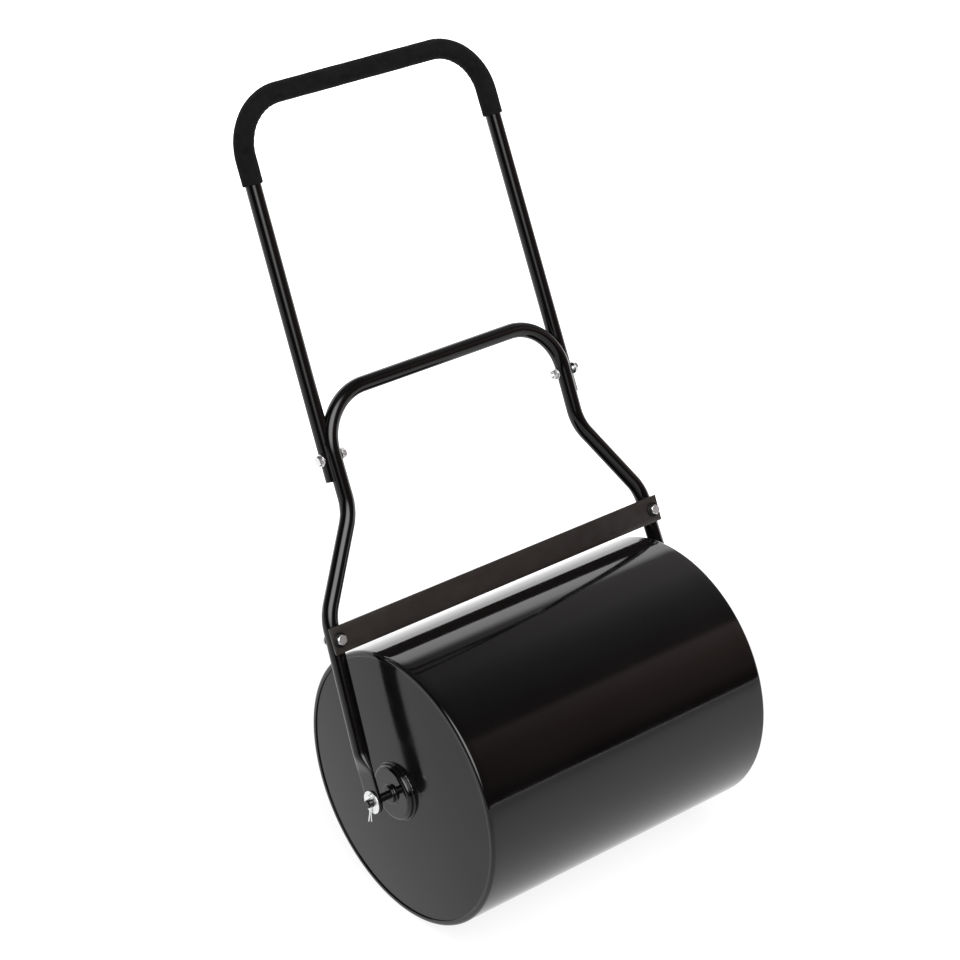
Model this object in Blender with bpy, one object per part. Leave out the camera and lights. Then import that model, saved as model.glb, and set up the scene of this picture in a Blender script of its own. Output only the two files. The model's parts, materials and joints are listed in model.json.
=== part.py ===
"""Push lawn roller: a hollow steel drum turning on an axle in a bent tube frame with a U handle.

World frame, in metres: the origin is on the ground right below the drum's centre, +X runs along
the axle, the handle leans towards +Y and +Z is up. Left parts are on the -X side.
The frame's own plane leans back with the handle: in it X stays X, Y points out of its back and
Z runs from the axle up along the legs.
"""
import math

import bmesh
import bpy
from mathutils import Matrix, Vector

# ------------------------------------------------------------------ driving dimensions (metres)
FIT_GAP = 0.0003              # between two pieces that touch

DRUM_RADIUS = 0.200
DRUM_WIDTH = 0.500
SHEET = 0.0015                # steel sheet of the drum
RIM_RADIUS = 0.005            # rounding of the drum's rims
RIM_LIP = 0.008               # how far each rim turns in over its end plate
END_DOME = 0.0068             # how far an end plate bulges at its centre
END_FLANGE = 0.012            # depth of an end plate's flange inside the shell

HUB_RADIUS = 0.0405
HUB_FACE = 0.2645             # X of the hub's outer face
HUB_ROUNDING = 0.0055
COLLAR_RADIUS = 0.013
COLLAR_FACE = 0.2700

AXLE_RADIUS = 0.006
AXLE_END = 0.306
PIN_X = 0.2997                # X of the split pins through the axle

FILLER_HEIGHT = 0.140         # of the filler's centre above the axle
FILLER_BORE = 0.0132
NECK_RADIUS = 0.018
NECK_FACE = 0.2575            # X of the filler neck's outer end
SEAL_THICKNESS = 0.0016

LEAN = math.radians(25.0)     # of the frame behind the vertical
FRAME_TUBE = 0.0111           # outer radius of the frame's tube
FRAME_WALL = 0.0015
AXLE_HALF_SPAN = 0.293        # legs' centrelines at the axle
LEG_HALF_SPAN = 0.2825        # at the lower bends
TOP_HALF_SPAN = 0.205         # above the upper bends
LOWER_BEND = 0.260            # heights in the frame's plane
UPPER_BEND = 0.385
CROSSBAR = 0.542
EYE_BEND_RADIUS = 0.300
LEG_BEND_RADIUS = 0.070
CROSSBAR_RADIUS = 0.075
EYE_HALF_THICKNESS = 0.0025   # flattened leg end
EYE_RADIUS = 0.017
EYE_BEND = 0.055              # height up to which each leg end stands square to the axle
EYE_FLAT = 0.040              # length of the flattened stretch above the axle
EYE_BLEND = 0.032             # length over which it swells back to a round tube
BUSH_RADIUS = 0.008           # of the bush in each leg end

HANDLE_TUBE = 0.0112
HANDLE_WALL = 0.0013
HANDLE_BACK = 0.006           # how far the handle lies behind the frame's plane
HANDLE_FOOT = 0.430           # height of the handle's lower ends
HANDLE_TOP = 0.950
HANDLE_FOOT_HALF_SPAN = 0.212
HANDLE_TOP_HALF_SPAN = 0.2055
HANDLE_BEND_RADIUS = 0.076
GRIP_RADIUS = 0.0143
GRIP_DROP = 0.110             # how far the grip reaches down each leg

BOLT_RADIUS = 0.004           # M8
BOLT_HEIGHT = 0.462           # handle bolts
BOLT_BACK = HANDLE_BACK / 2   # they lie midway between the two tubes' centres
HEX_CORNER = 0.0075
HEAD_THICKNESS = 0.0053
NUT_THICKNESS = 0.0065
WASHER_THICKNESS = 0.0016
WASHER_RADIUS = 0.0085
SCRAPER_WASHER_RADIUS = 0.0105

SCRAPER_BOTTOM = 0.210
SCRAPER_TOP = 0.2475
SCRAPER_HALF_LENGTH = 0.2955
SCRAPER_THICKNESS = 0.004
SCRAPER_GAP = 0.0004          # between the bar's back and the legs
SCRAPER_TRAVEL_UP = 0.006
SCRAPER_TRAVEL_DOWN = 0.004
SCRAPER_BOLT = 0.2285         # height of the scraper's bolts

DRUM_SEGMENTS = 60            # a facet's middle points straight down
HUB_SEGMENTS = 30
SMALL_SEGMENTS = 18           # bolts, nuts and washers; a multiple of 6 keeps hexagons true
TUBE_SIDES = 12
BEND_STEP = math.radians(15.0)
SHARP_ANGLE = math.radians(35.0)
MERGE = 0.00001

# ------------------------------------------------------------------ finishes
GLOSS_BLACK = ((0.012, 0.012, 0.013), 0.16, 0.0)
SATIN_BLACK = ((0.020, 0.018, 0.017), 0.42, 0.0)
FOAM_BLACK = ((0.016, 0.016, 0.016), 0.85, 0.0)
PLASTIC_BLACK = ((0.025, 0.025, 0.026), 0.50, 0.0)
RUBBER_BLACK = ((0.015, 0.015, 0.015), 0.75, 0.0)
ZINC = ((0.72, 0.73, 0.74), 0.28, 1.0)

SIDES = (("left", -1), ("right", 1))


# ------------------------------------------------------------------ building blocks
def clear_scene():
    for item in list(bpy.data.objects):
        bpy.data.objects.remove(item, do_unlink=True)


def add_empty(name, location, rotation=(0.0, 0.0, 0.0)):
    empty = bpy.data.objects.new(name, None)
    empty.location = location
    empty.rotation_euler = rotation
    bpy.context.scene.collection.objects.link(empty)
    return empty


def painted(name, finish):
    colour, roughness, metallic = finish
    material = bpy.data.materials.new(name)
    material.use_nodes = True
    shader = material.node_tree.nodes["Principled BSDF"]
    shader.inputs["Base Color"].default_value = (*colour, 1.0)
    shader.inputs["Roughness"].default_value = roughness
    shader.inputs["Metallic"].default_value = metallic
    return material


def add_part(name, bm, finish, parent, place=Matrix()):
    """Turn a bmesh into the named sub-part, placed under its parent by a matrix."""
    bmesh.ops.recalc_face_normals(bm, faces=bm.faces)
    mesh = bpy.data.meshes.new(name)
    bm.to_mesh(mesh)
    bm.free()
    mesh.shade_smooth()
    mesh.set_sharp_from_angle(angle=SHARP_ANGLE)
    mesh.materials.append(painted(name, finish))
    part = bpy.data.objects.new(name, mesh)
    part.parent = parent
    part.matrix_local = place
    bpy.context.scene.collection.objects.link(part)
    return part


def cut(part, bm, place=Matrix()):
    """Cut a closed bmesh out of a part; the cutter itself is only a guide."""
    bmesh.ops.recalc_face_normals(bm, faces=bm.faces)
    mesh = bpy.data.meshes.new(part.name + "_cutter")
    bm.to_mesh(mesh)
    bm.free()
    cutter = bpy.data.objects.new(mesh.name, mesh)
    cutter.parent = part.parent
    cutter.matrix_local = place
    cutter.hide_render = True
    cutter.display_type = 'WIRE'
    bpy.context.scene.collection.objects.link(cutter)
    difference = part.modifiers.new("cut", 'BOOLEAN')
    difference.operation = 'DIFFERENCE'
    difference.solver = 'EXACT'
    difference.object = cutter


def turned(profile, segments):
    """Spin an (x, radius) profile about X: a ring if it is closed, a solid if both ends are on X."""
    half_step = Matrix.Rotation(math.pi / segments, 3, 'X')
    bm = bmesh.new()
    verts = [bm.verts.new(half_step @ Vector((x, 0.0, radius))) for x, radius in profile]
    edges = [bm.edges.new(pair) for pair in zip(verts, verts[1:])]
    is_solid = profile[0][1] == 0.0 and profile[-1][1] == 0.0
    if not is_solid:
        edges.append(bm.edges.new((verts[-1], verts[0])))
    bmesh.ops.spin(bm, geom=verts + edges, cent=(0, 0, 0), axis=(1, 0, 0),
                   angle=2 * math.pi, steps=segments, use_merge=True)
    bmesh.ops.remove_doubles(bm, verts=bm.verts, dist=MERGE)
    return bm


def make_hexagonal(bm, low, high, inner_radius):
    """Pull the outside of a turned stretch between two X values in to a hexagon."""
    sixth = math.pi / 3
    for vert in bm.verts:
        radius = math.hypot(vert.co.y, vert.co.z)
        if low <= vert.co.x <= high and radius > inner_radius:
            angle = math.atan2(vert.co.y, vert.co.z) - math.pi / SMALL_SEGMENTS
            scale = math.cos(sixth / 2) / math.cos(angle % sixth - sixth / 2)
            vert.co.y *= scale
            vert.co.z *= scale


def arc(centre_x, centre_r, radius, start, end, steps):
    """Points of a profile's arc; angles in degrees, 0 pointing to +X and 90 away from the axis."""
    angles = [math.radians(start + (end - start) * i / steps) for i in range(steps + 1)]
    return [(centre_x + radius * math.cos(a), centre_r + radius * math.sin(a)) for a in angles]


def rods(specs, segments):
    """A bmesh of separate solid rods, each given as (centre, axis, radius, length)."""
    bm = bmesh.new()
    for centre, axis, radius, length in specs:
        turn = Vector((0, 0, 1)).rotation_difference(Vector(axis)).to_matrix().to_4x4()
        bmesh.ops.create_cone(bm, cap_ends=True, segments=segments, radius1=radius, radius2=radius,
                              depth=length, matrix=Matrix.Translation(centre) @ turn)
    return bm


def prism(outline, axis, length):
    """Extrude an outline of 3-D points along an axis by a length, centred on the outline."""
    bm = bmesh.new()
    shift = Vector(axis) * length
    face = bm.faces.new([bm.verts.new(Vector(point) - shift / 2) for point in outline])
    grown = bmesh.ops.extrude_face_region(bm, geom=[face])["geom"]
    bmesh.ops.translate(bm, vec=shift, verts=[v for v in grown if isinstance(v, bmesh.types.BMVert)])
    return bm


def loft(rings, is_closed):
    """Skin a row of rings; a closed row joins its last ring to its first, an open one is capped."""
    bm = bmesh.new()
    loops = [[bm.verts.new(point) for point in ring] for ring in rings]
    following = loops[1:] + (loops[:1] if is_closed else [])
    for ring, following_ring in zip(loops, following):
        for i in range(len(ring)):
            j = (i + 1) % len(ring)
            bm.faces.new((ring[i], ring[j], following_ring[j], following_ring[i]))
    if not is_closed:
        bm.faces.new(loops[0])
        bm.faces.new(loops[-1])
    return bm


# ------------------------------------------------------------------ bent tubes
class BentPath:
    """A tube's centreline in the frame's plane: straight runs joined by arcs."""

    def __init__(self, corners, radii):
        self.runs = []
        self.length = 0.0
        points = [Vector(corner) for corner in corners]
        start = points[0]
        for before, corner, after, radius in zip(points, points[1:], points[2:], radii):
            way_in = (corner - before).normalized()
            way_out = (after - corner).normalized()
            turn = math.atan2(way_in.x * way_out.y - way_in.y * way_out.x, way_in.dot(way_out))
            setback = radius * math.tan(abs(turn) / 2)
            bend_start = corner - way_in * setback
            self.add_run(start, way_in, (bend_start - start).length, 0.0)
            self.add_run(bend_start, way_in, radius * abs(turn), math.copysign(1 / radius, turn))
            start = corner + way_out * setback
        self.add_run(start, (points[-1] - start).normalized(), (points[-1] - start).length, 0.0)

    def add_run(self, start, direction, length, curvature):
        self.runs.append((self.length, start, direction, length, curvature))
        self.length += length

    @staticmethod
    def along(run, distance):
        """The point and direction at a distance along one run."""
        _, start, direction, _, curvature = run
        if curvature == 0.0:
            return start + direction * distance, direction
        turn = curvature * distance
        left = Vector((-direction.y, direction.x))
        point = start + (direction * math.sin(turn) + left * (1 - math.cos(turn))) / curvature
        return point, direction * math.cos(turn) + left * math.sin(turn)

    def at(self, distance):
        for run in reversed(self.runs):
            if distance >= run[0]:
                return self.along(run, distance - run[0])
        return self.along(self.runs[0], distance)

    def gap(self, point):
        """Distance from a point of the plane to the centreline."""
        gaps = []
        for run in self.runs:
            _, start, direction, length, curvature = run
            if curvature == 0.0:
                reach = (point - start).dot(direction)
            else:
                left = Vector((-direction.y, direction.x))
                spoke = (point - start) * curvature - left
                reach = math.atan2(spoke.dot(direction), -spoke.dot(left)) / curvature
            gaps.append((point - self.along(run, min(max(reach, 0.0), length))[0]).length)
        return min(gaps)

    def stations(self, extra):
        """Distances of the rings: every bend is stepped, and extra ones are added."""
        marks = set(extra)
        for start, _, _, length, curvature in self.runs:
            steps = max(1, math.ceil(abs(curvature) * length / BEND_STEP))
            marks.update(start + length * i / steps for i in range(steps + 1))
        low, high = min(extra), max(extra)
        kept = []
        for mark in sorted(mark for mark in marks if low <= mark <= high):
            if not kept or mark - kept[-1] > MERGE:
                kept.append(mark)
        return kept


def tube_ring(path, distance, half_thickness, half_width, squareness=0.0, back=0.0, first=0.0):
    """A ring round the path: round when squareness is 0, flat-sided as it nears 1."""
    point, direction = path.at(distance)
    across = Vector((-direction.y, direction.x))
    power = 1.0 - 0.7 * squareness
    ring = []
    for i in range(TUBE_SIDES):
        angle = first + 2 * math.pi * (i + 0.5) / TUBE_SIDES
        cosine, sine = math.cos(angle), math.sin(angle)
        side = across * math.copysign(abs(cosine) ** power, cosine) * half_thickness
        depth = math.copysign(abs(sine) ** power, sine) * half_width
        ring.append(Vector((point.x + side.x, back + depth, point.y + side.y)))
    return ring


def smooth_step(value):
    value = min(max(value, 0.0), 1.0)
    return value * value * (3 - 2 * value)


# ------------------------------------------------------------------ the drum
def dome(radius):
    """X of the right end plate's outer face at a distance from the axle."""
    edge_x = DRUM_WIDTH / 2 - SHEET - FIT_GAP
    edge_radius = DRUM_RADIUS - RIM_LIP
    return edge_x + END_DOME * max(0.0, 1 - (radius / edge_radius) ** 2)


def mirrored(profile, side):
    return [(side * x, radius) for x, radius in profile]


def drum_shell(parent):
    """Rolled sheet with both rims turned in; facets' middles lie on the drum's radius."""
    stretch = 1 / math.cos(math.pi / DRUM_SEGMENTS)
    end = DRUM_WIDTH / 2
    lip = DRUM_RADIUS - RIM_LIP
    outside = [(end, lip)]
    outside += arc(end - RIM_RADIUS, DRUM_RADIUS - RIM_RADIUS, RIM_RADIUS, 0, 90, 2)
    inside = arc(end - RIM_RADIUS, DRUM_RADIUS - RIM_RADIUS, RIM_RADIUS - SHEET, 90, 0, 2)
    inside.append((end - SHEET, lip))
    profile = outside + mirrored(outside[::-1], -1) + mirrored(inside[::-1], -1) + inside
    profile = [(x, radius * stretch) for x, radius in profile]
    add_part("drum_shell", turned(profile, DRUM_SEGMENTS), GLOSS_BLACK, parent)


def end_plate(parent, name, side):
    """Domed disc with a flange that lies against the inside of the shell."""
    reach = DRUM_RADIUS - SHEET - FIT_GAP
    fold = 0.004
    steps = 3
    inner = AXLE_RADIUS + FIT_GAP
    outer = reach - fold
    radii = [inner + (outer - inner) * i / steps for i in range(steps + 1)]
    face = [(dome(radius), radius) for radius in radii]
    corner_x = dome(outer) - fold
    face += arc(corner_x, outer, fold, 0, 90, 2)[1:]
    flange_end = corner_x - END_FLANGE
    face += [(flange_end, reach), (flange_end, reach - SHEET)]
    back = arc(corner_x, outer, fold - SHEET, 90, 0, 1)
    back += [(dome(radius) - SHEET, radius) for radius in radii[-2::-1]]
    plate = add_part(name, turned(mirrored(face + back, side), DRUM_SEGMENTS), SATIN_BLACK, parent)
    if side > 0:
        centre = (dome(FILLER_HEIGHT), 0.0, FILLER_HEIGHT)
        cut(plate, rods([(centre, (1, 0, 0), NECK_RADIUS + FIT_GAP, 0.02)], SMALL_SEGMENTS))


def hub(parent, name, side):
    """Rounded steel flange with a small collar, welded on the end plate round the axle."""
    inner = AXLE_RADIUS + FIT_GAP
    seat = dome(inner) + FIT_GAP
    rounding = arc(HUB_FACE - HUB_ROUNDING, HUB_RADIUS - HUB_ROUNDING, HUB_ROUNDING, 90, 0, 3)
    profile = [(seat, inner), (seat, HUB_RADIUS)] + rounding
    profile += [(HUB_FACE, COLLAR_RADIUS + 0.002), (HUB_FACE + 0.002, COLLAR_RADIUS)]
    profile += [(COLLAR_FACE - 0.0015, COLLAR_RADIUS), (COLLAR_FACE, COLLAR_RADIUS - 0.0015)]
    profile.append((COLLAR_FACE, inner))
    add_part(name, turned(mirrored(profile, side), HUB_SEGMENTS), GLOSS_BLACK, parent)


def axle(parent):
    """Plain rod with chamfered ends and a cross hole for a split pin near each end."""
    chamfer = 0.0015
    half = [(AXLE_END, 0.0), (AXLE_END, AXLE_RADIUS - chamfer), (AXLE_END - chamfer, AXLE_RADIUS)]
    profile = half + mirrored(half[::-1], -1)
    rod = add_part("axle", turned(profile, SMALL_SEGMENTS), GLOSS_BLACK, parent)
    holes = [((side * PIN_X, 0, 0), (0, 0, 1), 0.0023, 0.02) for _, side in SIDES]
    cut(rod, rods(holes, 12))


def axle_washer(parent, name, side):
    face = AXLE_HALF_SPAN + EYE_HALF_THICKNESS + 0.0006
    thickness = 0.0022
    inner = AXLE_RADIUS + FIT_GAP
    outer = 0.0165
    edge = 0.0005
    profile = [(face, inner), (face, outer - edge), (face + edge, outer)]
    profile += [(face + thickness - edge, outer), (face + thickness, outer - edge)]
    profile.append((face + thickness, inner))
    add_part(name, turned(mirrored(profile, side), SMALL_SEGMENTS), ZINC, parent)


def split_pin(parent, name, side):
    """One wire bent into an eye above the axle, with both legs through its cross hole."""
    wire = 0.0009
    leg = 0.00105
    eye = 0.0036
    eye_height = AXLE_RADIUS + wire + FIT_GAP + eye
    opening = math.asin(leg / eye)
    route = [(leg + 0.0030, -0.0320), (leg + 0.0022, -0.0240), (leg + 0.0007, -0.0150), (leg, -0.0085)]
    eye_steps = 12
    for i in range(eye_steps + 1):
        angle = opening + (2 * math.pi - 2 * opening) * i / eye_steps
        route.append((eye * math.sin(angle), eye_height - eye * math.cos(angle)))
    route += [(-leg, -0.0085), (-leg - 0.0005, -0.0160), (-leg - 0.0014, -0.0290)]
    curve = bpy.data.curves.new(name, 'CURVE')
    curve.dimensions = '3D'
    curve.bevel_depth = wire
    curve.bevel_resolution = 2
    curve.use_fill_caps = True
    spline = curve.splines.new('POLY')
    spline.points.add(len(route) - 1)
    for point, (y, z) in zip(spline.points, route):
        point.co = (0.0, y, z, 1.0)
    curve.materials.append(painted(name, ZINC))
    pin = bpy.data.objects.new(name, curve)
    pin.parent = parent
    pin.location = (side * PIN_X, 0.0, 0.0)
    bpy.context.scene.collection.objects.link(pin)


# ------------------------------------------------------------------ the filler


def filler_neck(parent):
    """Threaded bung through the right end plate, with a shoulder outside it."""
    shoulder_x = dome(FILLER_HEIGHT - 0.021) + FIT_GAP
    shoulder = 0.021
    inner_end = 0.2430
    chamfer = 0.0008
    profile = [(inner_end, FILLER_BORE), (inner_end, NECK_RADIUS), (shoulder_x, NECK_RADIUS)]
    profile += [(shoulder_x, shoulder), (shoulder_x + 0.002, shoulder)]
    profile += [(shoulder_x + 0.0035, NECK_RADIUS), (NECK_FACE - chamfer, NECK_RADIUS)]
    profile += [(NECK_FACE, NECK_RADIUS - chamfer), (NECK_FACE, FILLER_BORE)]
    place = Matrix.Translation((0.0, 0.0, FILLER_HEIGHT))
    add_part("filler_neck", turned(profile, SMALL_SEGMENTS), GLOSS_BLACK, parent, place)


def filler_plug(pivot):
    """Screw-in plug with a hexagonal head."""
    head_x = NECK_FACE + SEAL_THICKNESS + 2 * FIT_GAP
    flange = 0.0195
    head = 0.0160
    top = 0.2710
    stem = FILLER_BORE - FIT_GAP
    profile = [(0.2460, 0.0), (0.2460, stem - 0.001), (0.2470, stem), (head_x, stem)]
    profile += [(head_x, flange), (head_x + 0.003, flange), (head_x + 0.0035, head)]
    profile += [(top - 0.001, head), (top, head - 0.0015), (top, 0.0)]
    bm = turned(profile, SMALL_SEGMENTS)
    make_hexagonal(bm, head_x + 0.0033, top + MERGE, 0.001)
    add_part("filler_plug", bm, PLASTIC_BLACK, pivot)


def filler_seal(pivot):
    start = NECK_FACE + FIT_GAP
    inner = FILLER_BORE + FIT_GAP
    profile = [(start, inner), (start, 0.0185), (start + SEAL_THICKNESS, 0.0185)]
    profile.append((start + SEAL_THICKNESS, inner))
    add_part("filler_seal", turned(profile, SMALL_SEGMENTS), RUBBER_BLACK, pivot)


# ------------------------------------------------------------------ the frame
LEFT_LEG = [(-AXLE_HALF_SPAN, 0.0), (-AXLE_HALF_SPAN, EYE_BEND), (-LEG_HALF_SPAN, LOWER_BEND),
            (-TOP_HALF_SPAN, UPPER_BEND), (-TOP_HALF_SPAN, CROSSBAR)]
LEFT_BENDS = [EYE_BEND_RADIUS, LEG_BEND_RADIUS, LEG_BEND_RADIUS, CROSSBAR_RADIUS]
FRAME_PATH = BentPath(LEFT_LEG + [(-x, height) for x, height in LEFT_LEG[::-1]],
                      LEFT_BENDS + LEFT_BENDS[::-1])


def leg_offset(height):
    """How far a frame leg's centreline is from the middle, between its eye and its lower bend."""
    share = (height - EYE_BEND) / (LOWER_BEND - EYE_BEND)
    return AXLE_HALF_SPAN + (LEG_HALF_SPAN - AXLE_HALF_SPAN) * share


def frame_section(distance):
    """Half thickness, half width and squareness of the frame's tube at a distance along it."""
    from_eye = min(distance, FRAME_PATH.length - distance)
    swell = smooth_step((from_eye - EYE_FLAT) / EYE_BLEND)
    thickness = EYE_HALF_THICKNESS + (FRAME_TUBE - EYE_HALF_THICKNESS) * swell
    width = EYE_RADIUS + (FRAME_TUBE - EYE_RADIUS) * swell
    if from_eye < 0.0:
        width = math.sqrt(max(EYE_RADIUS ** 2 - from_eye ** 2, 0.0))
    return thickness, width, 1.0 - swell


def lower_frame(parent):
    """One hollow tube bent over the drum, its two ends flattened into eyes for the axle."""
    length = FRAME_PATH.length
    near = [-0.0164, -0.0148, -0.0110, -0.0055, 0.0, EYE_FLAT]
    near += [EYE_FLAT + EYE_BLEND * i / 4 for i in range(1, 5)]
    marks = FRAME_PATH.stations(near + [length - mark for mark in near])
    rings = [tube_ring(FRAME_PATH, mark, *frame_section(mark)) for mark in marks]
    tube = add_part("lower_frame", loft(rings, False), GLOSS_BLACK, parent)
    hollow = EYE_FLAT + EYE_BLEND + 0.005
    bore = FRAME_TUBE - FRAME_WALL
    marks = FRAME_PATH.stations([hollow, length - hollow])
    cut(tube, loft([tube_ring(FRAME_PATH, mark, bore, bore) for mark in marks], False))
    holes = []
    for _, side in SIDES:
        eye = (side * AXLE_HALF_SPAN, 0.0, 0.0)
        holes.append((eye, (1, 0, 0), BUSH_RADIUS + FIT_GAP, 0.02))
        handle_bolt_place = (side * TOP_HALF_SPAN, BOLT_BACK, BOLT_HEIGHT)
        holes.append((handle_bolt_place, (1, 0, 0), BOLT_RADIUS + FIT_GAP, 0.04))
        scraper_bolt_place = (side * leg_offset(SCRAPER_BOLT), 0.0, SCRAPER_BOLT)
        holes.append((scraper_bolt_place, (0, 1, 0), BOLT_RADIUS + FIT_GAP, 0.04))
    cut(tube, rods(holes, SMALL_SEGMENTS))




def axle_bush(parent, name, side):
    """Flanged plastic bush in a leg's eye; the axle turns in it."""
    inner = AXLE_RADIUS + FIT_GAP
    plate_back = AXLE_HALF_SPAN - EYE_HALF_THICKNESS - FIT_GAP
    plate_front = AXLE_HALF_SPAN + EYE_HALF_THICKNESS + FIT_GAP
    profile = [(plate_back - 0.002, inner), (plate_back - 0.002, 0.0115), (plate_back, 0.0115)]
    profile += [(plate_back, BUSH_RADIUS), (plate_front, BUSH_RADIUS), (plate_front, inner)]
    add_part(name, turned(mirrored(profile, side), SMALL_SEGMENTS), PLASTIC_BLACK, parent)


HANDLE_PATH = BentPath(
    [(-HANDLE_FOOT_HALF_SPAN, HANDLE_FOOT), (-HANDLE_TOP_HALF_SPAN, HANDLE_TOP),
     (HANDLE_TOP_HALF_SPAN, HANDLE_TOP), (HANDLE_FOOT_HALF_SPAN, HANDLE_FOOT)],
    [HANDLE_BEND_RADIUS, HANDLE_BEND_RADIUS])


NEST_ANGLE = math.atan2(HANDLE_BACK, HANDLE_FOOT_HALF_SPAN - TOP_HALF_SPAN)


def handle_ring(distance, radius):
    """A ring round the handle, laid out evenly about the direction it nests in."""
    return tube_ring(HANDLE_PATH, distance, radius, radius, 0.0, HANDLE_BACK, NEST_ANGLE)


def pressed(ring, clearance):
    """Push a handle ring's points off the frame's leg until they clear the tube beside them."""
    result = []
    for point in ring:
        spot = point.copy()
        outward = math.copysign(math.cos(NEST_ANGLE), spot.x)
        for _ in range(60):
            gap = math.hypot(FRAME_PATH.gap(Vector((spot.x, spot.z))), spot.y)
            if gap >= clearance - MERGE:
                break
            spot += Vector((outward, math.sin(NEST_ANGLE), 0.0)) * (clearance - gap)
        result.append(spot)
    return result


def upper_handle(parent):
    """U-shaped tube whose lower ends are pressed hollow so that they nest on the frame's legs."""
    length = HANDLE_PATH.length
    nest = [0.0, 0.018, 0.036, 0.048, 0.058, 0.068, 0.078, 0.088]
    marks = HANDLE_PATH.stations(nest + [length - mark for mark in nest])
    groove = FRAME_TUBE + 0.0008
    outside = [pressed(handle_ring(mark, HANDLE_TUBE), groove) for mark in marks]
    bore = HANDLE_TUBE - HANDLE_WALL
    inside = [pressed(handle_ring(mark, bore), groove + HANDLE_WALL) for mark in marks[::-1]]
    tube = add_part("upper_handle", loft(outside + inside, True), GLOSS_BLACK, parent)
    holes = []
    for _, side in SIDES:
        centre = (side * HANDLE_FOOT_HALF_SPAN, BOLT_BACK, BOLT_HEIGHT)
        holes.append((centre, (1, 0, 0), BOLT_RADIUS + FIT_GAP, 0.03))
    cut(tube, rods(holes, SMALL_SEGMENTS))


def foam_grip(parent):
    """Foam sleeve over the handle's top bar, both bends and the head of each leg."""
    leg_end = HANDLE_TOP - GRIP_DROP - HANDLE_FOOT
    marks = HANDLE_PATH.stations([leg_end, HANDLE_PATH.length - leg_end])
    outside = [handle_ring(mark, GRIP_RADIUS) for mark in marks]
    inside = [handle_ring(mark, HANDLE_TUBE + FIT_GAP) for mark in marks[::-1]]
    add_part("foam_grip", loft(outside + inside, True), FOAM_BLACK, parent)


# ------------------------------------------------------------------ fasteners
def hex_bolt(parent, name, place, length):
    """Bolt with its head's underside at X = 0 and its shank along +X."""
    chamfer = 0.0008
    profile = [(-HEAD_THICKNESS, 0.0), (-HEAD_THICKNESS, HEX_CORNER - chamfer)]
    profile += [(chamfer - HEAD_THICKNESS, HEX_CORNER), (0.0, HEX_CORNER), (0.0, BOLT_RADIUS)]
    profile += [(length - chamfer, BOLT_RADIUS), (length, BOLT_RADIUS - chamfer), (length, 0.0)]
    bm = turned(profile, SMALL_SEGMENTS)
    make_hexagonal(bm, -HEAD_THICKNESS - MERGE, MERGE, BOLT_RADIUS + MERGE)
    add_part(name, bm, ZINC, parent, place)


def hex_nut(parent, name, place):
    """Nut with its seat at X = 0, standing along +X."""
    chamfer = 0.0008
    bore = BOLT_RADIUS + FIT_GAP
    profile = [(0.0, bore), (0.0, HEX_CORNER), (NUT_THICKNESS - chamfer, HEX_CORNER)]
    profile += [(NUT_THICKNESS, HEX_CORNER - chamfer), (NUT_THICKNESS, bore)]
    bm = turned(profile, SMALL_SEGMENTS)
    make_hexagonal(bm, -MERGE, NUT_THICKNESS + MERGE, bore + MERGE)
    add_part(name, bm, ZINC, parent, place)


def washer(parent, name, place, radius, finish):
    """Flat washer with its seat at X = 0, standing along +X."""
    bore = BOLT_RADIUS + FIT_GAP
    edge = 0.0004
    profile = [(0.0, bore), (0.0, radius), (WASHER_THICKNESS - edge, radius)]
    profile += [(WASHER_THICKNESS, radius - edge), (WASHER_THICKNESS, bore)]
    add_part(name, turned(profile, SMALL_SEGMENTS), finish, parent, place)


def facing(direction, point):
    """Place a part's X axis along a direction of the frame's plane, at a point of it."""
    turn = Vector((1, 0, 0)).rotation_difference(Vector(direction)).to_matrix().to_4x4()
    return Matrix.Translation(point) @ turn


def bolted_joint(parent, stem, centre, outward, head_reach, nut_reach, washers):
    """Bolt through a centre: head, washers and nut at their reaches along the outward direction."""
    outward = Vector(outward)
    centre = Vector(centre)
    (head_radius, head_finish), (nut_radius, nut_finish) = washers
    head_seat = centre + outward * head_reach
    nut_seat = centre - outward * nut_reach
    stack = WASHER_THICKNESS + FIT_GAP
    washer(parent, stem + "_head_washer", facing(outward, head_seat), head_radius, head_finish)
    washer(parent, stem + "_nut_washer", facing(-outward, nut_seat), nut_radius, nut_finish)
    hex_nut(parent, stem + "_nut", facing(-outward, nut_seat - outward * stack))
    length = head_reach + nut_reach + 2 * stack + NUT_THICKNESS + 0.0015
    hex_bolt(parent, stem + "_bolt", facing(-outward, head_seat + outward * stack), length)


def handle_bolts(parent):
    """One bolt along X on each side holds the handle's nested end to the frame's leg."""
    head_reach = HANDLE_FOOT_HALF_SPAN + HANDLE_TUBE - TOP_HALF_SPAN + FIT_GAP
    for word, side in SIDES:
        centre = (side * TOP_HALF_SPAN, BOLT_BACK, BOLT_HEIGHT)
        bolted_joint(parent, word + "_handle", centre, (side, 0, 0), head_reach,
                     FRAME_TUBE + FIT_GAP, ((WASHER_RADIUS, ZINC), (WASHER_RADIUS, ZINC)))


def scraper_bolts(parent):
    """One bolt through each leg clamps the scraper bar on the leg's front."""
    head_reach = FRAME_TUBE + SCRAPER_GAP + SCRAPER_THICKNESS + FIT_GAP
    for word, side in SIDES:
        centre = (side * leg_offset(SCRAPER_BOLT), 0.0, SCRAPER_BOLT)
        bolted_joint(parent, word + "_scraper", centre, (0, -1, 0), head_reach,
                     FRAME_TUBE + FIT_GAP, ((SCRAPER_WASHER_RADIUS, SATIN_BLACK), (WASHER_RADIUS, ZINC)))


# ------------------------------------------------------------------ the scraper


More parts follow.
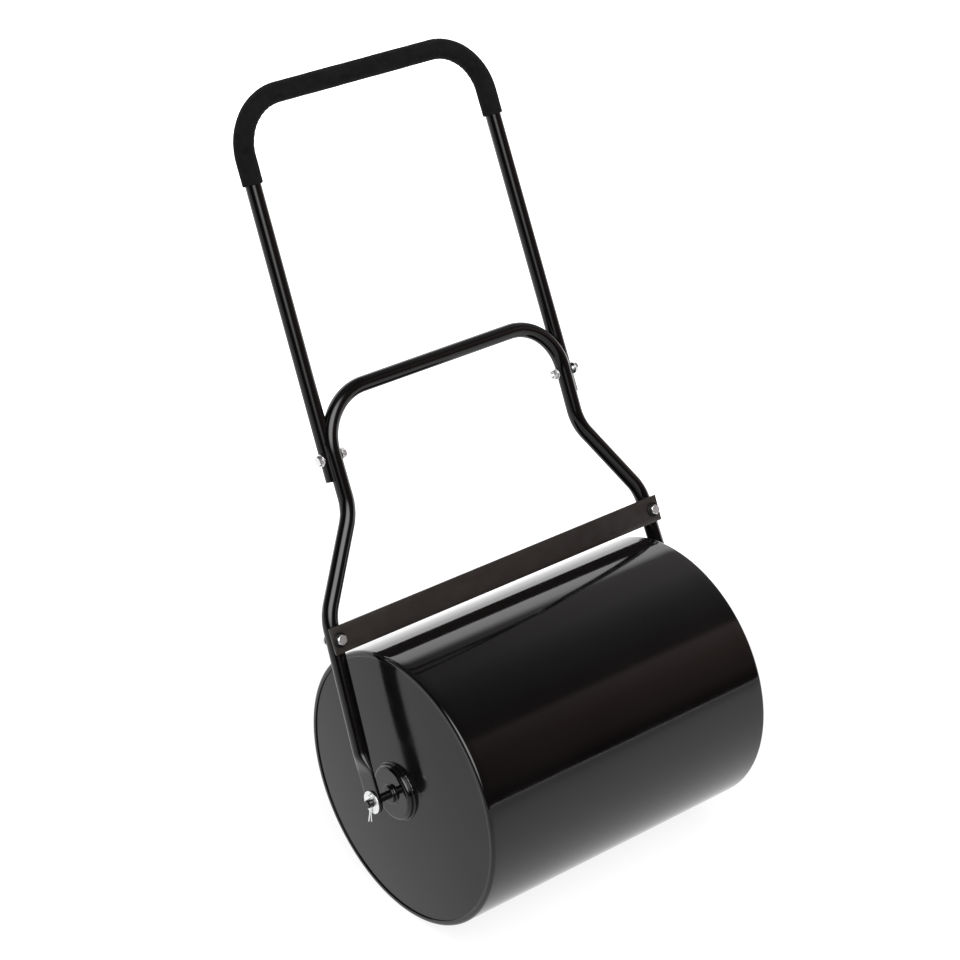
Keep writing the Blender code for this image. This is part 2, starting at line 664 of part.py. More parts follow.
def scraper_bar(pivot):
    """Flat bar with a chamfered lower edge and a slot for the bolt at each end."""
    back = -(FRAME_TUBE + SCRAPER_GAP)
    front = back - SCRAPER_THICKNESS
    chamfer = 0.002
    section = [(front, SCRAPER_BOTTOM), (front, SCRAPER_TOP), (back, SCRAPER_TOP),
               (back, SCRAPER_BOTTOM + chamfer), (back - chamfer, SCRAPER_BOTTOM)]
    outline = [(0.0, y, z - SCRAPER_BOLT) for y, z in section]
    bar = add_part("scraper_bar", prism(outline, (1, 0, 0), 2 * SCRAPER_HALF_LENGTH),
                   SATIN_BLACK, pivot)
    half_width = BOLT_RADIUS + FIT_GAP
    ends = ((SCRAPER_TRAVEL_DOWN + FIT_GAP, 0), (-SCRAPER_TRAVEL_UP - FIT_GAP, 180))
    for _, side in SIDES:
        slot = []
        for height, first_angle in ends:
            for i in range(7):
                angle = math.radians(first_angle + 30 * i)
                x = side * leg_offset(SCRAPER_BOLT) + half_width * math.cos(angle)
                slot.append((x, (front + back) / 2, height + half_width * math.sin(angle)))
        cut(bar, prism(slot, (0, 1, 0), 0.02))


# ------------------------------------------------------------------ the whole roller
def build():
    clear_scene()
    axle_height = (0.0, 0.0, DRUM_RADIUS)
    drum_axis = add_empty("drum_axis", axle_height)
    drum_shell(drum_axis)
    axle(drum_axis)
    filler_neck(drum_axis)
    plug_axis = add_empty("plug_axis", (0.0, 0.0, DRUM_RADIUS + FILLER_HEIGHT))
    filler_plug(plug_axis)
    filler_seal(plug_axis)

    frame_plane = add_empty("frame_plane", axle_height, (-LEAN, 0.0, 0.0))
    lower_frame(frame_plane)
    upper_handle(frame_plane)
    foam_grip(frame_plane)
    handle_bolts(frame_plane)
    scraper_bolts(frame_plane)
    for word, side in SIDES:
        end_plate(drum_axis, word + "_end_plate", side)
        hub(drum_axis, word + "_hub", side)
        axle_washer(drum_axis, word + "_axle_washer", side)
        split_pin(drum_axis, word + "_split_pin", side)
        axle_bush(frame_plane, word + "_axle_bush", side)

    up_the_legs = Vector((0.0, math.sin(LEAN), math.cos(LEAN)))
    slot_place = Vector(axle_height) + up_the_legs * SCRAPER_BOLT
    scraper_slide = add_empty("scraper_slide", slot_place, (-LEAN, 0.0, 0.0))
    scraper_bar(scraper_slide)


build()
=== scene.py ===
"""Looks of the push lawn roller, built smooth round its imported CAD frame.

Every piece stands where its CAD node stands and keeps its sizes. The roller is black paint on
steel: gloss on the drum and tubes, satin on the end plates and scraper, bright zinc fasteners
and a matte foam grip.
"""
import json
import math

import bmesh
import bpy
from mathutils import Matrix, Vector


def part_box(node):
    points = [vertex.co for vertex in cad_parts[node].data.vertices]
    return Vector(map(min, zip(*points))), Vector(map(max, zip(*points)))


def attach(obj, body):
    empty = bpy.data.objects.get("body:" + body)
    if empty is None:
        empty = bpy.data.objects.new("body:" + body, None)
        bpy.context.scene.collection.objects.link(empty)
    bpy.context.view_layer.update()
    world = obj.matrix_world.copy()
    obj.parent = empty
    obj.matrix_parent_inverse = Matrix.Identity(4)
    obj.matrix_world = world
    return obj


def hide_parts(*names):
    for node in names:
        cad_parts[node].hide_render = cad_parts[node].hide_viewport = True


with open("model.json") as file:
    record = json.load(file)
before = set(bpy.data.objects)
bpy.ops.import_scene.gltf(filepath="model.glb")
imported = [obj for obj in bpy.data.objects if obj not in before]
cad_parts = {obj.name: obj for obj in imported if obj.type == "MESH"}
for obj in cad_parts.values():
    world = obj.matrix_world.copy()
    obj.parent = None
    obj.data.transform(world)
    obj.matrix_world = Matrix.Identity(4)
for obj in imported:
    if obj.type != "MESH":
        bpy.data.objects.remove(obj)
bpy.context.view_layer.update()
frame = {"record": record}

RECORD = frame["record"]
BODY_OF = {node: body for body, nodes in RECORD["behaviour"]["bodies"].items() for node in nodes}
SLOT_OF = {part["node"]: part["material_slot"] for part in RECORD["subparts"]}
JOINTS = {joint["name"]: joint for joint in RECORD["behaviour"]["joints"]}
SIDES = (("left", -1), ("right", 1))

# ------------------------------------------------------------------ sizes read from the frame
DRUM_LOW, DRUM_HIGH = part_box("drum_shell")
DRUM_RADIUS = (DRUM_HIGH.z - DRUM_LOW.z) / 2
DRUM_END = DRUM_HIGH.x
AXLE_PLACE = Vector((0.0, 0.0, DRUM_LOW.z + DRUM_RADIUS))
AXLE_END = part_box("axle")[1].x
LEAN = math.atan2(JOINTS["scraper_slide"]["axis"][1], JOINTS["scraper_slide"]["axis"][2])
FRAME_PLANE = Matrix.Translation(AXLE_PLACE) @ Matrix.Rotation(-LEAN, 4, 'X')
HUB_RADIUS = (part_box("left_hub")[1].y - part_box("left_hub")[0].y) / 2
PLUG_PLACE = Vector(JOINTS["plug_turn"]["pos_m"])
FILLER_HEIGHT = PLUG_PLACE.z - AXLE_PLACE.z
SCRAPER_HALF_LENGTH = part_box("scraper_bar")[1].x

# ------------------------------------------------------------------ the CAD's other dimensions
FIT_GAP = 0.0003
SHEET = 0.0015
RIM_RADIUS = 0.005
RIM_LIP = 0.008
END_DOME = 0.0068
HUB_FACE = 0.2645
HUB_ROUNDING = 0.0055
COLLAR_RADIUS = 0.013
COLLAR_FACE = 0.2700
AXLE_RADIUS = 0.006
PIN_X = 0.2997
FILLER_BORE = 0.0132
NECK_RADIUS = 0.018
NECK_SHOULDER = 0.021
NECK_FACE = 0.2575
SEAL_THICKNESS = 0.0016
PLUG_TOP = 0.2710

FRAME_TUBE = 0.0111
FRAME_WALL = 0.0015
AXLE_HALF_SPAN = 0.293
LEG_HALF_SPAN = 0.2825
TOP_HALF_SPAN = 0.205
EYE_BEND = 0.055
LOWER_BEND = 0.260
UPPER_BEND = 0.385
CROSSBAR = 0.542
EYE_BEND_RADIUS = 0.300
LEG_BEND_RADIUS = 0.070
CROSSBAR_RADIUS = 0.075
EYE_HALF_THICKNESS = 0.0025
EYE_RADIUS = 0.017
EYE_FLAT = 0.040
EYE_BLEND = 0.032
BUSH_RADIUS = 0.008

HANDLE_TUBE = 0.0112
HANDLE_WALL = 0.0013
HANDLE_BACK = 0.006
HANDLE_FOOT = 0.430
HANDLE_TOP = 0.950
HANDLE_FOOT_HALF_SPAN = 0.212
HANDLE_TOP_HALF_SPAN = 0.2055
HANDLE_BEND_RADIUS = 0.076
NEST_LENGTH = 0.088
GRIP_RADIUS = 0.0143
GRIP_DROP = 0.110

BOLT_RADIUS = 0.004
BOLT_HEIGHT = 0.462
BOLT_BACK = HANDLE_BACK / 2
HEX_FLAT = 0.0065
HEAD_THICKNESS = 0.0053
NUT_THICKNESS = 0.0065
WASHER_THICKNESS = 0.0016
WASHER_RADIUS = 0.0085
SCRAPER_WASHER_RADIUS = 0.0105
WASHER_STACK = WASHER_THICKNESS + FIT_GAP
SCRAPER_BOTTOM = 0.210
SCRAPER_TOP = 0.2475
SCRAPER_THICKNESS = 0.004
SCRAPER_GAP = 0.0004
SCRAPER_SLOT_UP = 0.0063
SCRAPER_SLOT_DOWN = 0.0043
SCRAPER_BOLT = 0.2285

# ------------------------------------------------------------------ fineness of the meshes
DRUM_SEGMENTS = 256
HUB_SEGMENTS = 128
BOLT_SEGMENTS = 72
TUBE_SIDES = 48
BEND_STEP = math.radians(2.5)
MERGE = 0.000005
SHARP_ANGLE = math.radians(28.0)

# ------------------------------------------------------------------ settings of the studio
FLOOR_HALF_SIZE = 20.0
FLOOR_ASPECT = 0.83               # the floor's glow, with its painted light and shade, changes along this much of X plus Y
# painted shade: the floor's dimmer glow in front of the roller
FLOOR_GLOW_IN_PAINTED_SHADE = 0.51
FLOOR_GLOW = 0.85
FLOOR_PAINTED_LIGHT_BEHIND = 0.95          # painted light, added to the glow well behind the roller
PAINTED_SHADE_FADES = (-1.6, -0.42)        # where the painted shade in front fades to the middle's glow
PAINTED_LIGHT_GAINS = (0.7, 1.5)           # where the painted light behind is added
ROOM_BANDS = (                    # degrees over the room, and the light's colour there
    (0, (1.80, 1.80, 1.80)), (36, (2.00, 2.00, 2.00)), (43, (0.32, 0.30, 0.30)),
    (69, (0.36, 0.34, 0.34)), (93, (0.18, 0.18, 0.18)), (117, (0.09, 0.08, 0.08)),
    (125, (0.10, 0.08, 0.08)), (130, (0.37, 0.29, 0.28)), (145, (0.23, 0.16, 0.15)),
    (165, (0.13, 0.09, 0.09)), (175, (0.02, 0.01, 0.01)))
SOFTBOX = 4.0
SOFTBOX_AIM = (-0.370, -0.600, 0.709)
OVERHEAD_PLACE = (0.0, -0.5, 4.0)
OVERHEAD_AIM = (0.0, 0.2, 0.0)
OVERHEAD_SIZE = 5.0
OVERHEAD_POWER = 60.0
CAMERA_PLACE = (-2.1300, -2.4370, 2.3668)
CAMERA_TURN = (61.289, -0.330, -39.461)
CAMERA_LENS = 102.88
CAMERA_SENSOR = 36.0


# ------------------------------------------------------------------ materials
class Look:
    """A procedural material; its textures follow each piece's own coordinates, in metres."""

    def __init__(self, name, colour, roughness, metallic=0.0):
        self.material = bpy.data.materials.new(name)
        self.material.use_nodes = True
        self.nodes = self.material.node_tree.nodes
        self.links = self.material.node_tree.links
        self.shader = self.nodes["Principled BSDF"]
        self.shader.inputs["Base Color"].default_value = (*colour, 1.0)
        self.shader.inputs["Roughness"].default_value = roughness
        self.shader.inputs["Metallic"].default_value = metallic
        self.place = self.nodes.new("ShaderNodeTexCoord").outputs["Object"]
        self.height = None

    def stretched(self, scale):
        """The piece's coordinates, scaled along each axis."""
        mapping = self.nodes.new("ShaderNodeMapping")
        mapping.inputs["Scale"].default_value = scale
        self.links.new(self.place, mapping.inputs["Vector"])
        return mapping.outputs["Vector"]

    def noise(self, scale, detail=3.0, stretch=None):
        node = self.nodes.new("ShaderNodeTexNoise")
        node.inputs["Scale"].default_value = scale
        node.inputs["Detail"].default_value = detail
        source = self.stretched(stretch) if stretch else self.place
        self.links.new(source, node.inputs["Vector"])
        return node.outputs["Fac"]

    def cells(self, scale):
        node = self.nodes.new("ShaderNodeTexVoronoi")
        node.inputs["Scale"].default_value = scale
        self.links.new(self.place, node.inputs["Vector"])
        return node.outputs["Distance"]

    def spread(self, source, low, high, start=0.3, end=0.7):
        """Map a texture's middle values to the range from low to high."""
        node = self.nodes.new("ShaderNodeMapRange")
        node.inputs["From Min"].default_value = start
        node.inputs["From Max"].default_value = end
        node.inputs["To Min"].default_value = low
        node.inputs["To Max"].default_value = high
        self.links.new(source, node.inputs["Value"])
        return node.outputs["Result"]

    def tint(self, source, colours, start=0.3, end=0.7):
        """Colour the surface between two colours by a texture."""
        ramp = self.nodes.new("ShaderNodeValToRGB")
        first, last = ramp.color_ramp.elements
        first.position, last.position = start, end
        first.color = (*colours[0], 1.0)
        last.color = (*colours[1], 1.0)
        self.links.new(source, ramp.inputs["Fac"])
        self.links.new(ramp.outputs["Color"], self.shader.inputs["Base Color"])

    def vary_roughness(self, source, low, high):
        self.links.new(self.spread(source, low, high), self.shader.inputs["Roughness"])

    def bump(self, source, depth):
        """Raise the surface by a texture, up to a depth in metres, on top of earlier bumps."""
        node = self.nodes.new("ShaderNodeBump")
        node.inputs["Distance"].default_value = depth
        self.links.new(source, node.inputs["Height"])
        if self.height:
            self.links.new(self.height, node.inputs["Normal"])
        self.height = node.outputs["Normal"]
        self.links.new(self.height, self.shader.inputs["Normal"])


def gloss_paint(name, waviness, peel):
    """Black stoved gloss: long soft waves of the sheet, orange peel and faint dust."""
    look = Look(name, (0.0022, 0.0020, 0.0021), 0.08)
    look.tint(look.noise(9.0), ((0.0018, 0.0016, 0.0017), (0.0028, 0.0025, 0.0025)))
    look.vary_roughness(look.noise(35.0, 5.0), 0.055, 0.105)
    look.shader.inputs["Specular IOR Level"].default_value = 0.42
    look.bump(look.noise(5.0, 1.0), waviness)
    look.bump(look.noise(260.0, 2.0), peel)
    return look


def make_looks():
    looks = {}
    looks["drum_paint"] = gloss_paint("drum_gloss_black", 0.00022, 0.000008)
    looks["frame_paint"] = gloss_paint("tube_gloss_black", 0.00002, 0.000014)

    plate = Look("plate_semi_gloss_black", (0.0040, 0.0037, 0.0038), 0.12)
    plate.shader.inputs["Specular IOR Level"].default_value = 0.28
    plate.tint(plate.noise(14.0, 5.0), ((0.0030, 0.0028, 0.0029), (0.0056, 0.0052, 0.0052)))
    plate.vary_roughness(plate.noise(22.0, 6.0), 0.09, 0.15)
    plate.bump(plate.noise(7.0, 1.0), 0.00008)
    plate.bump(plate.noise(330.0, 3.0), 0.000014)
    looks["plate_paint"] = plate

    bar = Look("bar_satin_black", (0.013, 0.010, 0.009), 0.40)
    grain = bar.noise(18.0, 6.0, (0.25, 1.0, 1.0))
    bar.tint(grain, ((0.0100, 0.0078, 0.0070), (0.0170, 0.0135, 0.0120)))
    bar.vary_roughness(bar.noise(60.0, 5.0), 0.33, 0.47)
    bar.bump(bar.noise(420.0, 3.0), 0.000030)
    looks["bar_paint"] = bar

    washer = Look("washer_satin_black", (0.004, 0.0035, 0.0035), 0.30)
    washer.tint(washer.noise(120.0, 4.0), ((0.0028, 0.0026, 0.0026), (0.0056, 0.0052, 0.0052)))
    washer.vary_roughness(washer.noise(200.0, 4.0), 0.24, 0.38)
    washer.shader.inputs["Specular IOR Level"].default_value = 0.3
    washer.bump(washer.noise(700.0, 2.0), 0.000015)
    looks["black_washer"] = washer

    foam = Look("foam_matte_black", (0.0045, 0.0045, 0.0045), 0.92)
    foam.tint(foam.noise(70.0, 6.0), ((0.0030, 0.0030, 0.0031), (0.0062, 0.0061, 0.0060)))
    foam.vary_roughness(foam.noise(160.0, 3.0), 0.84, 0.97)
    foam.bump(foam.cells(900.0), 0.00028)
    foam.bump(foam.noise(110.0, 4.0), 0.00022)
    foam.shader.inputs["Specular IOR Level"].default_value = 0.12
    looks["foam"] = foam

    plastic = Look("plastic_matte_black", (0.016, 0.016, 0.017), 0.50)
    plastic.tint(plastic.noise(90.0, 4.0), ((0.0135, 0.0135, 0.0145), (0.0190, 0.0190, 0.0195)))
    plastic.vary_roughness(plastic.noise(140.0, 4.0), 0.44, 0.58)
    plastic.bump(plastic.noise(1200.0, 2.0), 0.000018)
    looks["plastic"] = plastic

    rubber = Look("seal_rubber_black", (0.012, 0.012, 0.012), 0.75)
    rubber.tint(rubber.noise(130.0, 4.0), ((0.0095, 0.0095, 0.0095), (0.0150, 0.0150, 0.0150)))
    rubber.vary_roughness(rubber.noise(220.0, 3.0), 0.68, 0.84)
    rubber.bump(rubber.noise(900.0, 2.0), 0.000020)
    looks["seal_rubber"] = rubber

    zinc = Look("zinc_bright", (0.84, 0.85, 0.86), 0.34, 1.0)
    zinc.tint(zinc.noise(170.0, 5.0), ((0.76, 0.77, 0.79), (0.90, 0.90, 0.89)))
    zinc.vary_roughness(zinc.noise(420.0, 4.0), 0.28, 0.42)
    zinc.bump(zinc.noise(1500.0, 2.0), 0.000006)
    looks["zinc"] = zinc
    return looks


LOOKS = make_looks()


# ------------------------------------------------------------------ mesh building blocks
def object_from(name, bm, place=Matrix()):
    bmesh.ops.recalc_face_normals(bm, faces=bm.faces)
    mesh = bpy.data.meshes.new(name)
    bm.to_mesh(mesh)
    bm.free()
    made = bpy.data.objects.new(name, mesh)
    made.matrix_world = place
    bpy.context.scene.collection.objects.link(made)
    return made


def cut(target, cutters):
    """Cut closed bmeshes, given as (bmesh, place), out of an object, and keep the result."""
    guides = []
    for bm, place in cutters:
        guide = object_from(target.name + "_cutter", bm, place)
        guides.append(guide)
        difference = target.modifiers.new("cut", 'BOOLEAN')
        difference.operation = 'DIFFERENCE'
        difference.solver = 'EXACT'
        difference.object = guide
    bpy.context.view_layer.update()
    evaluated = target.evaluated_get(bpy.context.evaluated_depsgraph_get())
    result = bpy.data.meshes.new_from_object(evaluated)
    target.modifiers.clear()
    target.data = result
    for guide in guides:
        bpy.data.objects.remove(guide, do_unlink=True)


def show(made, node, sharp=SHARP_ANGLE):
    """Finish a made object as the piece that stands for a CAD node."""
    made.name = node + "_fine"
    if made.type == 'MESH':
        made.data.shade_smooth()
        made.data.set_sharp_from_angle(angle=sharp)
    made.data.materials.clear()
    made.data.materials.append(LOOKS[SLOT_OF[node]].material)
    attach(made, BODY_OF[node])
    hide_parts(node)
    return made


def arc(centre_x, centre_r, radius, start, end, steps):
    """Points of a profile's arc; angles in degrees, 0 pointing to +X and 90 away from the axis."""
    angles = [math.radians(start + (end - start) * i / steps) for i in range(steps + 1)]
    return [(centre_x + radius * math.cos(a), centre_r + radius * math.sin(a)) for a in angles]


def stepped(first, last, steps):
    """Profile points from first to last, the last one left out."""
    return [(first[0] + (last[0] - first[0]) * i / steps,
             first[1] + (last[1] - first[1]) * i / steps) for i in range(steps)]


def mirrored(profile, side):
    return [(side * x, radius) for x, radius in profile]


def turned(profile, segments):
    """Spin an (x, radius) profile about X: a ring if it is closed, a solid if both ends are on X."""
    bm = bmesh.new()
    rings = []
    for x, radius in profile:
        if radius == 0.0:
            rings.append([bm.verts.new((x, 0.0, 0.0))] * segments)
            continue
        angles = [2 * math.pi * i / segments for i in range(segments)]
        rings.append([bm.verts.new((x, radius * math.sin(a), radius * math.cos(a))) for a in angles])
    is_ring = profile[0][1] > 0.0
    following = rings[1:] + (rings[:1] if is_ring else [])
    for ring, following_ring in zip(rings, following):
        for i in range(segments):
            j = (i + 1) % segments
            corners = [ring[i], ring[j], following_ring[j], following_ring[i]]
            bm.faces.new(list(dict.fromkeys(corners)))
    return bm


def radius_of(vert):
    return math.hypot(vert.co.y, vert.co.z)


def scale_radius(vert, scale):
    vert.co.y *= scale
    vert.co.z *= scale


def make_hexagonal(bm, low, high, inner_radius, flat, crowns):
    """Pull a turned stretch in to a hexagon, and crown its end faces at the given (x, way in)."""
    sixth = math.pi / 3
    for vert in bm.verts:
        if not low <= vert.co.x <= high or radius_of(vert) <= inner_radius:
            continue
        angle = math.atan2(vert.co.y, vert.co.z)
        reach = flat / math.cos(angle % sixth - sixth / 2)
        scale_radius(vert, reach / radius_of(vert))
        for crown_x, way_in in crowns:
            if abs(vert.co.x - crown_x) < MERGE:
                vert.co.x += way_in * (reach - 0.95 * flat) * math.tan(math.radians(30))


def cut_thread(bm, low, high, radius, pitch, depth):
    """Press a helical thread into the turned stretch of one radius between two X values."""
    for vert in bm.verts:
        if low < vert.co.x < high and abs(radius_of(vert) - radius) < MERGE:
            turn = (vert.co.x / pitch - math.atan2(vert.co.y, vert.co.z) / (2 * math.pi)) % 1.0
            crest = 1.0 - abs(2.0 * turn - 1.0)
            fade = min(1.0, (vert.co.x - low) / pitch, (high - vert.co.x) / pitch)
            scale_radius(vert, 1.0 - depth * fade * min(1.0, 1.25 * (1.0 - crest)) / radius)


def rod(centre, axis, radius, length, segments=BOLT_SEGMENTS):
    bm = bmesh.new()
    turn = Vector((0, 0, 1)).rotation_difference(Vector(axis)).to_matrix().to_4x4()
    bmesh.ops.create_cone(bm, cap_ends=True, segments=segments, radius1=radius, radius2=radius,
                          depth=length, matrix=Matrix.Translation(centre) @ turn)
    return bm


def loft(rings, is_closed):
    """Skin a row of rings; a closed row joins its last ring to its first, an open one is capped."""
    bm = bmesh.new()
    loops = [[bm.verts.new(point) for point in ring] for ring in rings]
    following = loops[1:] + (loops[:1] if is_closed else [])
    for ring, following_ring in zip(loops, following):
        for i in range(len(ring)):
            j = (i + 1) % len(ring)
            bm.faces.new((ring[i], ring[j], following_ring[j], following_ring[i]))
    if not is_closed:
        bm.faces.new(loops[0])
        bm.faces.new(loops[-1])
    return bm


# ------------------------------------------------------------------ bent tubes
class BentPath:
    """A tube's centreline in the frame's plane: straight runs joined by arcs."""

    def __init__(self, corners, radii):
        self.runs = []
        self.length = 0.0
        points = [Vector(corner) for corner in corners]
        start = points[0]
        for before, corner, after, radius in zip(points, points[1:], points[2:], radii):
            way_in = (corner - before).normalized()
            way_out = (after - corner).normalized()
            turn = math.atan2(way_in.x * way_out.y - way_in.y * way_out.x, way_in.dot(way_out))
            setback = radius * math.tan(abs(turn) / 2)
            bend_start = corner - way_in * setback
            self.add_run(start, way_in, (bend_start - start).length, 0.0)
            self.add_run(bend_start, way_in, radius * abs(turn), math.copysign(1 / radius, turn))
            start = corner + way_out * setback
        self.add_run(start, (points[-1] - start).normalized(), (points[-1] - start).length, 0.0)

    def add_run(self, start, direction, length, curvature):
        self.runs.append((self.length, start, direction, length, curvature))
        self.length += length

    @staticmethod
    def along(run, distance):
        """The point and direction at a distance along one run."""
        _, start, direction, _, curvature = run
        if curvature == 0.0:
            return start + direction * distance, direction
        turn = curvature * distance
        left = Vector((-direction.y, direction.x))
        point = start + (direction * math.sin(turn) + left * (1 - math.cos(turn))) / curvature
        return point, direction * math.cos(turn) + left * math.sin(turn)

    def run_at(self, distance):
        for run in reversed(self.runs):
            if distance >= run[0]:
                return run
        return self.runs[0]

    def at(self, distance):
        run = self.run_at(distance)
        return self.along(run, distance - run[0])

    def bend_at(self, distance):
        """Curvature at a distance, eased in and out over the ends of each bend."""
        start, _, _, length, curvature = self.run_at(distance)
        ease = min(distance - start, start + length - distance) / 0.02
        return curvature * min(max(ease, 0.0), 1.0)

    def gap(self, point):
        """Distance from a point of the plane to the centreline."""
        gaps = []
        for run in self.runs:
            _, start, direction, length, curvature = run
            if curvature == 0.0:
                reach = (point - start).dot(direction)
            else:
                left = Vector((-direction.y, direction.x))
                spoke = (point - start) * curvature - left
                reach = math.atan2(spoke.dot(direction), -spoke.dot(left)) / curvature
            gaps.append((point - self.along(run, min(max(reach, 0.0), length))[0]).length)
        return min(gaps)

    def stations(self, extra, straight_step=0.02):
        """Distances of the rings: bends and straights are stepped, and extra ones are added."""
        marks = set(extra)
        for start, _, _, length, curvature in self.runs:
            steps = max(1, math.ceil(abs(curvature) * length / BEND_STEP),
                        math.ceil(length / straight_step))
            marks.update(start + length * i / steps for i in range(steps + 1))
        low, high = min(extra), max(extra)
        kept = []
        for mark in sorted(mark for mark in marks if low <= mark <= high):
            if not kept or mark - kept[-1] > 20 * MERGE:
                kept.append(mark)
        return kept


def tube_ring(path, distance, half_thickness, half_width, squareness=0.0, back=0.0, first=0.0):
    """A ring round the path: round when squareness is 0, flat-sided as it nears 1."""
    point, direction = path.at(distance)
    across = Vector((-direction.y, direction.x))
    power = 1.0 - 0.7 * squareness
    ring = []
    for i in range(TUBE_SIDES):
        angle = first + 2 * math.pi * (i + 0.5) / TUBE_SIDES
        cosine, sine = math.cos(angle), math.sin(angle)
        side = across * math.copysign(abs(cosine) ** power, cosine) * half_thickness
        depth = math.copysign(abs(sine) ** power, sine) * half_width
        ring.append(Vector((point.x + side.x, back + depth, point.y + side.y)))
    return ring


def smooth_step(value):
    value = min(max(value, 0.0), 1.0)
    return value * value * (3 - 2 * value)


def spaced(first, last, steps):
    return [first + (last - first) * i / steps for i in range(steps + 1)]


# ------------------------------------------------------------------ the drum
def dome(radius):
    """X of the right end plate's outer face at a distance from the axle."""
    edge_x = DRUM_END - SHEET - FIT_GAP
    edge_radius = DRUM_RADIUS - RIM_LIP
    return edge_x + END_DOME * max(0.0, 1 - (radius / edge_radius) ** 2)


def make_drum_shell():
    """Rolled sheet with rounded rims turned in, and the faint dressed weld of its long seam."""
    lip = DRUM_RADIUS - RIM_LIP
    corner = (DRUM_END - RIM_RADIUS, DRUM_RADIUS - RIM_RADIUS)
    outside = [(DRUM_END - 0.0004, lip), (DRUM_END, lip + 0.0006)]
    outside += arc(*corner, RIM_RADIUS, 0, 90, 12)
    inside = arc(*corner, RIM_RADIUS - SHEET, 90, 0, 8)
    inside.append((DRUM_END - SHEET, lip))
    across = stepped((corner[0], DRUM_RADIUS), (-corner[0], DRUM_RADIUS), 48)[1:]
    profile = outside + across + mirrored(outside[::-1], -1) + mirrored(inside[::-1], -1) + inside
    bm = turned(profile, DRUM_SEGMENTS)
    seam_angle = math.radians(205.0)
    for vert in bm.verts:
        if radius_of(vert) < DRUM_RADIUS - 0.0001:
            continue
        angle = math.atan2(-vert.co.y, vert.co.z) % (2 * math.pi)
        seam = math.exp(-((angle - seam_angle) * DRUM_RADIUS / 0.004) ** 2)
        ripple = 0.6 + 0.4 * math.sin(vert.co.x * 2 * math.pi / 0.007)
        scale_radius(vert, 1.0 + 0.00025 * seam * ripple / DRUM_RADIUS)
    show(object_from("drum_shell", bm, Matrix.Translation(AXLE_PLACE)), "drum_shell")


def make_end_plate(node, side):
    reach = DRUM_RADIUS - SHEET - FIT_GAP
    fold = 0.004
    inner = AXLE_RADIUS + FIT_GAP
    outer = reach - fold
    radii = spaced(inner, outer, 32)
    face = [(dome(radius), radius) for radius in radii]
    corner_x = dome(outer) - fold
    face += arc(corner_x, outer, fold, 0, 90, 8)[1:]
    flange_end = corner_x - 0.012
    face += [(flange_end, reach), (flange_end, reach - SHEET)]
    back = arc(corner_x, outer, fold - SHEET, 90, 0, 6)
    back += [(dome(radius) - SHEET, radius) for radius in radii[-2::-1]]
    profile = mirrored(face + back, side)
    plate = object_from(node, turned(profile, DRUM_SEGMENTS), Matrix.Translation(AXLE_PLACE))
    if side > 0:
        hole = rod((dome(FILLER_HEIGHT), 0.0, FILLER_HEIGHT), (1, 0, 0), NECK_RADIUS + FIT_GAP, 0.02)
        cut(plate, [(hole, Matrix.Translation(AXLE_PLACE))])
    show(plate, node)


def make_hub(node, side):
    """Rounded flange with its collar, and a rippled weld bead where it meets the end plate."""
    inner = AXLE_RADIUS + FIT_GAP
    bead = 0.0022
    seat = dome(HUB_RADIUS + bead) + 0.0002
    rounding = arc(HUB_FACE - HUB_ROUNDING, HUB_RADIUS - HUB_ROUNDING, HUB_ROUNDING, 90, 0, 14)
    profile = [(dome(inner) + FIT_GAP, inner), (dome(HUB_RADIUS * 0.5) + FIT_GAP, HUB_RADIUS * 0.5)]
    profile += [(seat, HUB_RADIUS + bead)]
    profile += arc(seat, HUB_RADIUS, bead, 70, 10, 6)
    profile += rounding
    profile += stepped((HUB_FACE, HUB_RADIUS - HUB_ROUNDING), (HUB_FACE, COLLAR_RADIUS + 0.002), 6)[1:]
    profile += arc(HUB_FACE + 0.002, COLLAR_RADIUS + 0.002, 0.002, 180, 270, 6)
    profile += arc(COLLAR_FACE - 0.0015, COLLAR_RADIUS - 0.0015, 0.0015, 90, 0, 6)
    profile.append((COLLAR_FACE, inner))
    bm = turned(mirrored(profile, side), HUB_SEGMENTS)
    for vert in bm.verts:
        radius = radius_of(vert)
        if radius > HUB_RADIUS + 0.0003:
            angle = math.atan2(vert.co.y, vert.co.z)
            scale_radius(vert, 1.0 + 0.00035 * math.sin(angle * 46) / radius)
    show(object_from(node, bm, Matrix.Translation(AXLE_PLACE)), node)


def make_axle():
    chamfer = 0.0012
    half = [(AXLE_END, 0.0), (AXLE_END, AXLE_RADIUS * 0.5), (AXLE_END, AXLE_RADIUS - chamfer)]
    half += [(AXLE_END - chamfer, AXLE_RADIUS), (AXLE_END - 0.004, AXLE_RADIUS)]
    bar = object_from("axle", turned(half + mirrored(half[::-1], -1), BOLT_SEGMENTS),
                      Matrix.Translation(AXLE_PLACE))
    holes = [(rod((side * PIN_X, 0, 0), (0, 0, 1), 0.0023, 0.02), Matrix.Translation(AXLE_PLACE))
             for _, side in SIDES]
    cut(bar, holes)
    show(bar, "axle")


def ring_profile(start, inner, outer, thickness, edge):
    """Profile of a flat ring standing on X = start towards +X, its outer edges rounded."""
    profile = [(start, inner + edge / 2), (start, outer - edge)]
    profile += arc(start + edge, outer - edge, edge, 180, 90, 5)[1:]
    profile += arc(start + thickness - edge, outer - edge, edge, 90, 0, 5)
    profile += [(start + thickness, inner + edge / 2), (start + thickness - edge / 2, inner)]
    profile.append((start + edge / 2, inner))
    return profile


def make_axle_washer(node, side):
    face = AXLE_HALF_SPAN + EYE_HALF_THICKNESS + 0.0006
    profile = ring_profile(face, AXLE_RADIUS + FIT_GAP, 0.0165, 0.0022, 0.0006)
    bm = turned(mirrored(profile, side), BOLT_SEGMENTS)
    show(object_from(node, bm, Matrix.Translation(AXLE_PLACE)), node)


